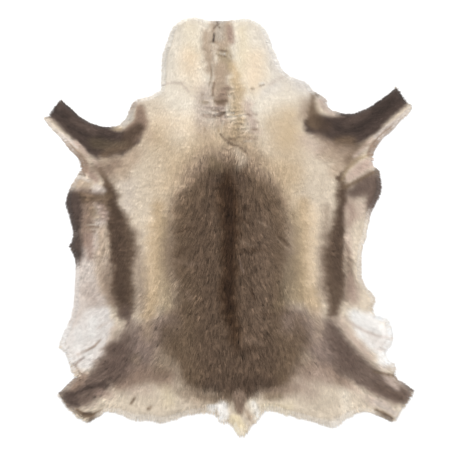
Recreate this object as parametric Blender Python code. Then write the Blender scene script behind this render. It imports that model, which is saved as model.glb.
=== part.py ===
"""A tanned reindeer hide lying flat, hair side up.

The hide is one piece, a lumpy slab of pile on its skin. The skin side is flat on Z = 0, the neck points
to +Y and the tail to -Y. The pile is deepest on the neck and back and short on the legs. It has the folds
of the neck, the groins and the legs, and locks of hair all round its rim lie level on the floor.
"""

from collections import namedtuple
from math import cos, exp, hypot, pi, radians, sin, sqrt

import bmesh
import bpy
from mathutils import Vector, geometry, noise

# Driving sizes, in millimetres
LOCK_SPACING = 17.5  # between the locks, along the rim
LOCK_BEND = 0.55  # how far out a lock bends, as a share of its length
LOCK_WAIST = 0.62  # its width there, as a share of the width at the root
LOCK_SLUMP = 0.55  # its height there, as a share of the height at the root
LOCK_LEAN = 0.35  # how far its tip leans the way the coat lies, as a share of its length
LOCK_LEAN_AT_BEND = 0.14
LOCK_UNEVENNESS = 0.35  # of its length
LOCK_VARIETY = 8.0  # the distance over which the lengths of locks differ
NOTCH_TURN = radians(24)  # where the rim turns inwards by more, the locks are short
NOTCH_SHARE = 0.4  # of the usual length
PILE_STEP = 21.5  # between points of the pile's surface
PILE_CLEARANCE = 12.0  # the least from such a point to another, or to the rim
CREASE_SIDE = 1.2  # from the middle of a crease to the points of its sides, in widths of the crease
RIM_ROLL = 34.0  # the distance over which the pile rises from the rim to its full depth
RIM_SHARE = 0.32  # of the full depth, at the rim
TUFT_SIZE = 62.0  # across one lump of the pile
TUFT_LENGTH = 1.7  # a lump's length down the body, as a share of its width
TUFT_HEIGHT = 0.26  # of the pile's depth
SMALL_TUFT_SIZE = 30.0
SMALL_TUFT_HEIGHT = 0.12  # of the pile's depth
CURVE_STEPS = 12  # between two points of the outline
SMALL_TUFT_LAYER, LOCK_LAYER = 7.0, 3.0  # where each kind of unevenness is read in the noise
COAT_COLOUR = (0.34, 0.25, 0.18, 1.0)
MM = 0.001
INSIDE_ONLY, MERGE_WITHIN = 1, 0.001  # for the triangles of the coat's surface

# The outline to the tips of the hair, clockwise from above. A point is given by its place across the hide,
# to the right of the middle, and along it, towards the neck. Hair is how far it reaches past the skin.
Stretch = namedtuple("Stretch", "part corners hair points")
SMOOTH, CORNERS = False, True
OUTLINE = [
    Stretch("left side of the neck", SMOOTH, 8, [
        (-201, 420), (-199, 467), (-195, 515), (-180, 551), (-171, 586), (-150, 610),
    ]),
    Stretch("cut edge of the neck", SMOOTH, 6, [
        (-120, 623), (-97, 625), (-64, 616), (-28, 613), (10, 616), (46, 621), (70, 616), (100, 597),
    ]),
    Stretch("right side of the neck", SMOOTH, 8, [
        (120, 568), (129, 536), (144, 503), (153, 479), (177, 451),
    ]),
    Stretch("right shoulder", SMOOTH, 7, [
        (198, 442), (219, 436), (237, 428), (242, 414), (257, 400), (284, 385), (293, 372), (302, 354),
        (332, 339), (362, 336),
    ]),
    Stretch("front of the right foreleg", SMOOTH, 4, [(391, 342), (421, 356), (445, 373), (469, 390)]),
    Stretch("cut end of the right foreleg", CORNERS, 4, [(498, 411), (528, 367), (542, 357), (543, 347)]),
    Stretch("back of the right foreleg", SMOOTH, 4, [
        (534, 333), (510, 312), (481, 280), (451, 256), (430, 220), (424, 201), (433, 176),
    ]),
    Stretch("right armpit", CORNERS, 5, [(446, 167)]),
    Stretch("right flank", SMOOTH, 7, [
        (451, 140), (454, 110), (445, 86), (424, 45), (415, 3), (406, -39), (396, -65), (394, -113),
        (396, -155), (412, -181), (433, -208), (430, -226), (426, -244),
    ]),
    Stretch("right groin", SMOOTH, 9, [
        (436, -262), (457, -269), (476, -280), (487, -318), (484, -345), (467, -365), (472, -387),
        (492, -408), (495, -423),
    ]),
    Stretch("front of the right hind leg", SMOOTH, 5, [(495, -443), (528, -470)]),
    Stretch("cut end of the right hind leg", CORNERS, 4, [
        (548, -487), (525, -527), (498, -565), (485, -580),
    ]),
    Stretch("back of the right hind leg", SMOOTH, 5, [(460, -570), (421, -553), (391, -550)]),
    Stretch("right side of the rump", SMOOTH, 10, [
        (367, -562), (344, -574), (320, -597), (287, -592), (242, -578), (183, -562), (129, -546),
        (103, -552),
    ]),
    Stretch("tail", SMOOTH, 10, [
        (94, -571), (73, -582), (61, -604), (37, -625), (21, -610), (4, -580), (-25, -580), (-37, -561),
    ]),
    Stretch("left side of the rump", SMOOTH, 10, [
        (-61, -552), (-115, -558), (-150, -570), (-195, -582), (-240, -574), (-281, -576), (-314, -559),
        (-353, -552),
    ]),
    Stretch("back of the left hind leg", SMOOTH, 5, [(-382, -562)]),
    Stretch("cut end of the left hind leg", CORNERS, 4, [
        (-414, -583), (-442, -570), (-478, -536), (-504, -495),
    ]),
    Stretch("front of the left hind leg", SMOOTH, 5, [(-472, -463), (-451, -443)]),
    Stretch("left groin", SMOOTH, 9, [
        (-466, -431), (-472, -402), (-484, -375), (-503, -354), (-492, -324), (-472, -280), (-460, -241),
    ]),
    Stretch("left flank", SMOOTH, 7, [
        (-457, -193), (-455, -122), (-460, -83), (-473, -60), (-466, -42), (-460, -21), (-470, 21),
        (-482, 68), (-475, 107), (-454, 144), (-439, 167),
    ]),
    Stretch("back of the left foreleg", SMOOTH, 4, [
        (-439, 190), (-454, 211), (-475, 232), (-501, 265), (-531, 295),
    ]),
    Stretch("cut end of the left foreleg", CORNERS, 4, [
        (-548, 320), (-531, 329), (-513, 357), (-498, 376),
    ]),
    Stretch("front of the left foreleg", SMOOTH, 4, [
        (-472, 354), (-442, 327), (-412, 309), (-382, 299), (-353, 296), (-329, 301),
    ]),
    Stretch("left shoulder", SMOOTH, 7, [
        (-308, 317), (-293, 351), (-287, 366), (-266, 382), (-234, 388), (-210, 402),
    ]),
]

# How deep the pile is at each place, and how far round it that depth reaches
Pile = namedtuple("Pile", "part across along reach depth")
PILES = [
    Pile("neck", -20, 520, 130, 34),
    Pile("withers", 0, 330, 150, 31),
    Pile("back", 10, 40, 200, 34),
    Pile("rump", 10, -380, 180, 31),
    Pile("left side", -290, 40, 120, 29),
    Pile("right side", 270, 40, 120, 29),
    Pile("left flank", -400, -60, 90, 20),
    Pile("right flank", 370, -60, 90, 20),
    Pile("left groin", -420, -340, 80, 26),
    Pile("right groin", 425, -320, 80, 27),
    Pile("left foreleg", -430, 270, 90, 12),
    Pile("right foreleg", 430, 280, 90, 12),
    Pile("left hind leg", -430, -505, 80, 13),
    Pile("right hind leg", 460, -500, 80, 13),
    Pile("tail", 40, -590, 40, 22),
]

# Creases and ridges of the coat. Rise is a share of the pile's depth, and below zero in a crease.
Fold = namedtuple("Fold", "part start end width rise")
FOLDS = [
    Fold("crease left of the neck", (-200, 421), (-85, 408), 15, -0.34),
    Fold("crease right of the neck", (165, 437), (70, 410), 15, -0.32),
    Fold("parting of the mane", (-46, 610), (-38, 480), 14, -0.34),
    Fold("lower parting of the mane", (-38, 480), (-48, 385), 14, -0.30),
    Fold("cowlick at the withers", (-38, 320), (60, 232), 17, -0.26),
    Fold("ridge of the back", (15, 210), (20, -420), 46, 0.12),
    Fold("crease inside the left foreleg", (-525, 312), (-395, 190), 13, -0.36),
    Fold("crease inside the right foreleg", (520, 335), (385, 215), 13, -0.36),
    Fold("left armpit", (-410, 175), (-345, 110), 15, -0.30),
    Fold("right armpit", (420, 180), (345, 150), 15, -0.30),
    Fold("left belly fold", (-400, 140), (-392, -190), 17, -0.24),
    Fold("right belly fold", (372, 110), (352, -190), 17, -0.24),
    Fold("swell of the left groin", (-470, -320), (-390, -280), 24, 0.24),
    Fold("upper fold of the left groin", (-490, -372), (-385, -332), 14, -0.46),
    Fold("lower fold of the left groin", (-462, -426), (-402, -374), 14, -0.42),
    Fold("swell of the right groin", (385, -262), (470, -300), 24, 0.26),
    Fold("upper fold of the right groin", (345, -270), (405, -310), 14, -0.46),
    Fold("end of that fold", (405, -310), (482, -330), 14, -0.46),
    Fold("lower fold of the right groin", (478, -376), (415, -352), 14, -0.40),
    Fold("crease of the left hind leg", (-450, -482), (-400, -420), 14, -0.26),
    Fold("crease of the right hind leg", (505, -505), (440, -440), 14, -0.26),
    Fold("groove left of the tail", (0, -566), (-6, -500), 13, -0.34),
    Fold("groove right of the tail", (84, -566), (60, -500), 13, -0.34),
]

# Which way the hair lies round each place, as a compass bearing with the neck to the north
Lay = namedtuple("Lay", "part across along bearing")
LAYS = [
    Lay("left side of the neck", -150, 520, 215),
    Lay("right side of the neck", 110, 520, 145),
    Lay("left shoulder", -260, 330, 235),
    Lay("right shoulder", 260, 330, 125),
    Lay("left foreleg", -480, 310, 300),
    Lay("right foreleg", 480, 330, 60),
    Lay("left flank", -440, 0, 205),
    Lay("right flank", 420, 0, 155),
    Lay("left groin", -450, -330, 235),
    Lay("right groin", 450, -320, 125),
    Lay("left hind leg", -450, -510, 230),
    Lay("right hind leg", 480, -510, 130),
    Lay("left side of the rump", -220, -540, 190),
    Lay("right side of the rump", 240, -540, 170),
    Lay("tail", 30, -580, 175),
]

Knot = namedtuple("Knot", "place corner hair")
Rim = namedtuple("Rim", "place hair")


def clear_scene():
    for item in list(bpy.data.objects):
        bpy.data.objects.remove(item, do_unlink=True)


def outline_knots():
    """The outline's points, from its first corner on."""
    knots = [
        Knot(Vector(place), stretch.corners, stretch.hair)
        for stretch in OUTLINE
        for place in stretch.points
    ]
    first = next(index for index, knot in enumerate(knots) if knot.corner)
    return knots[first:] + knots[:first]


def spline_point(before, start, end, after, share):
    """A point of the smooth curve from start to end, the given share of the way along."""
    return 0.5 * (
        2 * start
        + (end - before) * share
        + (2 * before - 5 * start + 4 * end - after) * share ** 2
        + (3 * start - before - 3 * end + after) * share ** 3
    )


def outline_runs():
    """The close-set points of the outline's runs, each from one corner to the next."""
    knots = outline_knots()
    runs = []
    for index, knot in enumerate(knots):
        after = knots[(index + 1) % len(knots)]
        if knot.corner:
            runs.append([])
        start, end = knot.place, after.place
        into = 2 * start - end if knot.corner else knots[index - 1].place
        onward = 2 * end - start if after.corner else knots[(index + 2) % len(knots)].place
        for step in range(CURVE_STEPS):
            share = step / CURVE_STEPS
            hair = knot.hair + (after.hair - knot.hair) * share
            runs[-1].append(Rim(spline_point(into, start, end, onward, share), hair))
    for index, run in enumerate(runs):
        run.append(runs[(index + 1) % len(runs)][0])
    return runs


def evenly_spaced(run):
    """Points a lock apart along a run, without its last one."""
    steps = [(after.place - rim.place).length for rim, after in zip(run, run[1:])]
    locks = max(1, round(sum(steps) / LOCK_SPACING))
    spacing = sum(steps) / locks
    points, passed = [run[0]], 0.0
    for rim, after, step in zip(run, run[1:], steps):
        while len(points) < locks and passed + step >= spacing * len(points):
            share = (spacing * len(points) - passed) / step
            hair = rim.hair + (after.hair - rim.hair) * share
            points.append(Rim(rim.place.lerp(after.place, share), hair))
        passed += step
    return points


def skin_edge():
    """The skin's edge: the outline's evenly spaced points, drawn in by the reach of the hair."""
    rims = [rim for run in outline_runs() for rim in evenly_spaced(run)]
    edge = []
    for index, rim in enumerate(rims):
        along = rims[(index + 1) % len(rims)].place - rims[index - 1].place
        outward = Vector((-along.y, along.x)).normalized()
        edge.append(Rim(rim.place - outward * rim.hair, rim.hair))
    return edge


def distance_to_segment(place, start, end):
    nearest, share = geometry.intersect_point_line(place, start, end)
    if share <= 0:
        nearest = start
    if share >= 1:
        nearest = end
    return hypot(place.x - nearest.x, place.y - nearest.y)


def distance_to_edge(place, edge):
    return min(
        distance_to_segment(place, edge[index - 1].place, edge[index].place) for index in range(len(edge))
    )


def inside(place, edge):
    """Whether a place is within the skin's edge, by the crossings of a line to its right."""
    crossings = 0
    for index in range(len(edge)):
        start, end = edge[index - 1].place, edge[index].place
        if (start.y > place.y) != (end.y > place.y):
            share = (place.y - start.y) / (end.y - start.y)
            crossings += start.x + (end.x - start.x) * share > place.x
    return crossings % 2 == 1


def fold_points():
    """Points down the middle of every crease and down both of its sides."""
    for fold in FOLDS:
        if fold.rise > 0:
            continue
        start, end = Vector(fold.start), Vector(fold.end)
        along = end - start
        aside = Vector((-along.y, along.x)).normalized() * fold.width * CREASE_SIDE
        count = max(1, round(along.length / PILE_STEP))
        for index in range(count + 1):
            middle = start + along * index / count
            yield from (middle, middle - aside, middle + aside)


def grid_points(edge):
    """A grid of equal triangles that covers the hide."""
    row_step = PILE_STEP * sqrt(3) / 2
    left = min(rim.place.x for rim in edge)
    right = max(rim.place.x for rim in edge)
    tail = min(rim.place.y for rim in edge)
    neck = max(rim.place.y for rim in edge)
    for row in range(int((neck - tail) / row_step) + 1):
        shift = PILE_STEP / 2 if row % 2 else 0.0
        for column in range(int((right - left) / PILE_STEP) + 1):
            yield Vector((left + shift + column * PILE_STEP, tail + row * row_step))


def pile_points(edge):
    """Points inside the skin's edge, none of them close to it or to each other, creases first."""
    cells, kept = {}, []
    for place in [*fold_points(), *grid_points(edge)]:
        column, row = int(place.x // PILE_CLEARANCE), int(place.y // PILE_CLEARANCE)
        near = [
            other
            for x in (column - 1, column, column + 1)
            for y in (row - 1, row, row + 1)
            for other in cells.get((x, y), [])
        ]
        if any((place - other).length < PILE_CLEARANCE for other in near):
            continue
        if inside(place, edge) and distance_to_edge(place, edge) > PILE_CLEARANCE:
            cells.setdefault((column, row), []).append(place)
            kept.append(place)
    return kept


def pile_depth(place):
    """The depth that the places in PILES give, each by its nearness."""
    total = weight = 0.0
    for pile in PILES:
        away = hypot(place.x - pile.across, place.y - pile.along) / pile.reach
        near = 1.0 / (1.0 + away ** 4)
        total += near * pile.depth
        weight += near
    return total / weight


def fold_rise(place):
    """The highest ridge and the deepest crease at a place, as a share of the depth there."""
    rises = [0.0]
    for fold in FOLDS:
        away = distance_to_segment(place, Vector(fold.start), Vector(fold.end)) / fold.width
        rises.append(fold.rise * exp(-away ** 2))
    return max(rises) + min(rises)


def tuft_rise(place):
    """The lumps of the coat, the large ones longer down the body than across it."""
    large = noise.noise(Vector((place.x / TUFT_SIZE, place.y / TUFT_SIZE / TUFT_LENGTH, 0.0)))
    small = noise.noise(Vector((place.x / SMALL_TUFT_SIZE, place.y / SMALL_TUFT_SIZE, SMALL_TUFT_LAYER)))
    return TUFT_HEIGHT * large + SMALL_TUFT_HEIGHT * small


def pile_height(place, from_edge):
    """The height of the coat at a place, which rises in a round shoulder from the skin's edge."""
    inward = min(1.0, from_edge / RIM_ROLL)
    shoulder = RIM_SHARE + (1.0 - RIM_SHARE) * (0.5 - 0.5 * cos(pi * sqrt(inward)))
    return pile_depth(place) * shoulder * (1.0 + inward * (fold_rise(place) + tuft_rise(place)))


def make_coat(edge):
    """The upper surface, from the skin's edge inwards."""
    inner = pile_points(edge)
    places = [rim.place for rim in edge] + inner
    rim_loop = list(range(len(edge)))[::-1]
    result = geometry.delaunay_2d_cdt(places, [], [rim_loop], INSIDE_ONLY, MERGE_WITHIN)
    bm = bmesh.new()
    for place in result[0]:
        height = pile_height(place, distance_to_edge(place, edge))
        bm.verts.new((place.x, place.y, height))
    bm.verts.ensure_lookup_table()
    for corners in result[2]:
        bm.faces.new([bm.verts[corner] for corner in corners])
    return bm


def close_below(bm):
    """Drops a wall from the rim of the coat to the floor and fills the flat skin side."""
    rim = [edge for edge in bm.edges if edge.is_boundary]
    walls = bmesh.ops.extrude_edge_only(bm, edges=rim)["geom"]
    for vert in (item for item in walls if isinstance(item, bmesh.types.BMVert)):
        vert.co.z = 0.0
    floor = [item for item in walls if isinstance(item, bmesh.types.BMEdge) and item.is_boundary]
    bmesh.ops.triangle_fill(bm, use_beauty=True, edges=floor)
    bmesh.ops.recalc_face_normals(bm, faces=bm.faces[:])
    return [item for item in walls if isinstance(item, bmesh.types.BMFace)]


def coat_lay(place):
    """The direction in which the hair lies at a place, by the nearness of the places in LAYS."""
    lay = Vector((0.0, 0.0))
    for spot in LAYS:
        away = hypot(place.x - spot.across, place.y - spot.along)
        bearing = radians(spot.bearing)
        lay += Vector((sin(bearing), cos(bearing))) / (1.0 + away ** 3)
    return lay.normalized()


def lock_length(place, edge):
    """A lock's length, from the two points of the skin's edge nearest to it."""
    count = len(edge)
    nearest = min(range(count), key=lambda index: (edge[index].place - place).length)
    into = edge[nearest].place - edge[nearest - 1].place
    onward = edge[(nearest + 1) % count].place - edge[nearest].place
    turn = into.angle_signed(onward)
    notch = NOTCH_SHARE if turn < -NOTCH_TURN else 1.0
    uneven = noise.noise(Vector((place.x / LOCK_VARIETY, place.y / LOCK_VARIETY, LOCK_LAYER)))
    return edge[nearest].hair * notch * (1.0 + LOCK_UNEVENNESS * uneven)


def draw_out_locks(bm, walls, edge):
    """Draws every face of the wall out into a lock with four sides that lies level on the floor."""
    blocks = bmesh.ops.extrude_discrete_faces(bm, faces=walls)["faces"]
    for block in blocks:
        block.normal_update()
        outward = Vector((block.normal.x, block.normal.y, 0.0)).normalized()
        root = block.calc_center_median()
        root.z = 0.0
        length = lock_length(root.xy, edge)
        lay = coat_lay(root.xy).to_3d()
        bend = (outward * LOCK_BEND + lay * LOCK_LEAN_AT_BEND) * length
        for vert in block.verts:
            height = vert.co.z * LOCK_SLUMP
            vert.co = root.lerp(Vector((vert.co.x, vert.co.y, 0.0)), LOCK_WAIST) + bend
            vert.co.z = height
        tip = bmesh.ops.poke(bm, faces=[block])["verts"][0]
        tip.co = root + (outward + lay * LOCK_LEAN) * length


def centre_on_origin(bm):
    """Moves the hide so that the middle of its length and width is over the origin."""
    middle = Vector((0.0, 0.0, 0.0))
    for axis in (0, 1):
        places = [vert.co[axis] for vert in bm.verts]
        middle[axis] = (min(places) + max(places)) / 2
    bmesh.ops.translate(bm, vec=-middle, verts=bm.verts[:])


def coat_material():
    material = bpy.data.materials.new("reindeer_coat")
    material.use_nodes = True
    shader = material.node_tree.nodes["Principled BSDF"]
    shader.inputs["Base Color"].default_value = COAT_COLOUR
    shader.inputs["Roughness"].default_value = 0.92
    shader.inputs["Metallic"].default_value = 0.0
    return material


def make_hide():
    edge = skin_edge()
    bm = make_coat(edge)
    walls = close_below(bm)
    draw_out_locks(bm, walls, edge)
    centre_on_origin(bm)
    bmesh.ops.triangulate(bm, faces=bm.faces[:])
    bmesh.ops.scale(bm, vec=(MM, MM, MM), verts=bm.verts[:])
    bmesh.ops.recalc_face_normals(bm, faces=bm.faces[:])
    mesh = bpy.data.meshes.new("reindeer_hide")
    bm.to_mesh(mesh)
    bm.free()
    mesh.materials.append(coat_material())
    hide = bpy.data.objects.new("reindeer_hide", mesh)
    bpy.context.scene.collection.objects.link(hide)
    mesh.shade_smooth()


clear_scene()
make_hide()
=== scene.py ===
"""Dresses the solid of a tanned reindeer hide: its skin, its underwool, its guard hair and its fringe.

Run as a script. Places and sizes are in millimetres, across the hide to the right of its middle and along
it towards the neck. Colours are as they look, from 0 to 255, and are made linear where they are used.
"""

from collections import namedtuple
from functools import cache
from math import pi

import bmesh
import bpy
import numpy as np
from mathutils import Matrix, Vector, geometry
from mathutils.bvhtree import BVHTree


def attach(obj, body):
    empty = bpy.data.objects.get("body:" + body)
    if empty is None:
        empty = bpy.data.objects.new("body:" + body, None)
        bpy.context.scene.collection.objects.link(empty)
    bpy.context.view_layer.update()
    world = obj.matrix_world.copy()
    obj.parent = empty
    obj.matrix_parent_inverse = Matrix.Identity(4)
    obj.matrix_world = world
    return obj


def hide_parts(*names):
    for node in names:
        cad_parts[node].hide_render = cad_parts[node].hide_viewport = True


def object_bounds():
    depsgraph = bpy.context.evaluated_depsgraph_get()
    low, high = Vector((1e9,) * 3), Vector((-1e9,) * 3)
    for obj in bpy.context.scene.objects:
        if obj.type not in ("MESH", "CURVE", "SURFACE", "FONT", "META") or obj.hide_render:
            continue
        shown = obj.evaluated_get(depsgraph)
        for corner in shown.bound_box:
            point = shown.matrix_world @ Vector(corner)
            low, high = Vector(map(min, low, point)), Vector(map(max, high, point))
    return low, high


bl_info = {
    "name": "Reindeer Hide",
    "version": (1, 0, 0),
    "blender": (4, 5, 0),
    "location": "3D View > Sidebar > Hide",
    "description": "Dresses the solid of a tanned reindeer hide with its skin, underwool, hair and fringe",
    "category": "Object",
}

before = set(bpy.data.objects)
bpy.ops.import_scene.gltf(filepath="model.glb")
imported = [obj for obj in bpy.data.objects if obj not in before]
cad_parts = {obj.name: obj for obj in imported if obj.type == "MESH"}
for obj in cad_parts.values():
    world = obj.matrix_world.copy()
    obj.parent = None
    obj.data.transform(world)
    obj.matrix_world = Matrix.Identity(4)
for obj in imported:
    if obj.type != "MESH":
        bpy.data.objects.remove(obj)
CAD_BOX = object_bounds()
SOLID = "reindeer_hide"
MM = 0.001

# ---------------------------------------------------------------------------------------------- the coat

COLOURS = {
    "ivory": (243, 239, 234),
    "chalk": (220, 213, 206),
    "cream": (234, 224, 208),
    "peach": (238, 216, 187),
    "straw": (233, 217, 184),
    "oat": (217, 202, 182),
    "gold": (197, 173, 141),
    "honey": (212, 182, 138),
    "olive": (160, 140, 112),
    "blush": (199, 177, 163),
    "shell": (212, 200, 191),
    "mauve": (186, 168, 156),
    "fawn": (186, 165, 144),
    "taupe": (141, 121, 105),
    "umber": (113, 94, 76),
    "brown": (98, 80, 66),
    "bark": (83, 67, 56),
    "soot": (71, 52, 37),
    "char": (58, 42, 31),
    "coal": (80, 67, 61),
    "ink": (57, 48, 44),
    "plum": (107, 90, 81),
    "smoke": (138, 120, 110),
    "bone": (230, 223, 217),
    "rose": (170, 146, 133),
    "clay": (150, 128, 112),
    "moss": (124, 108, 84),
    "lichen": (190, 182, 170),
    "pewter": (128, 121, 116),
}

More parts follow.
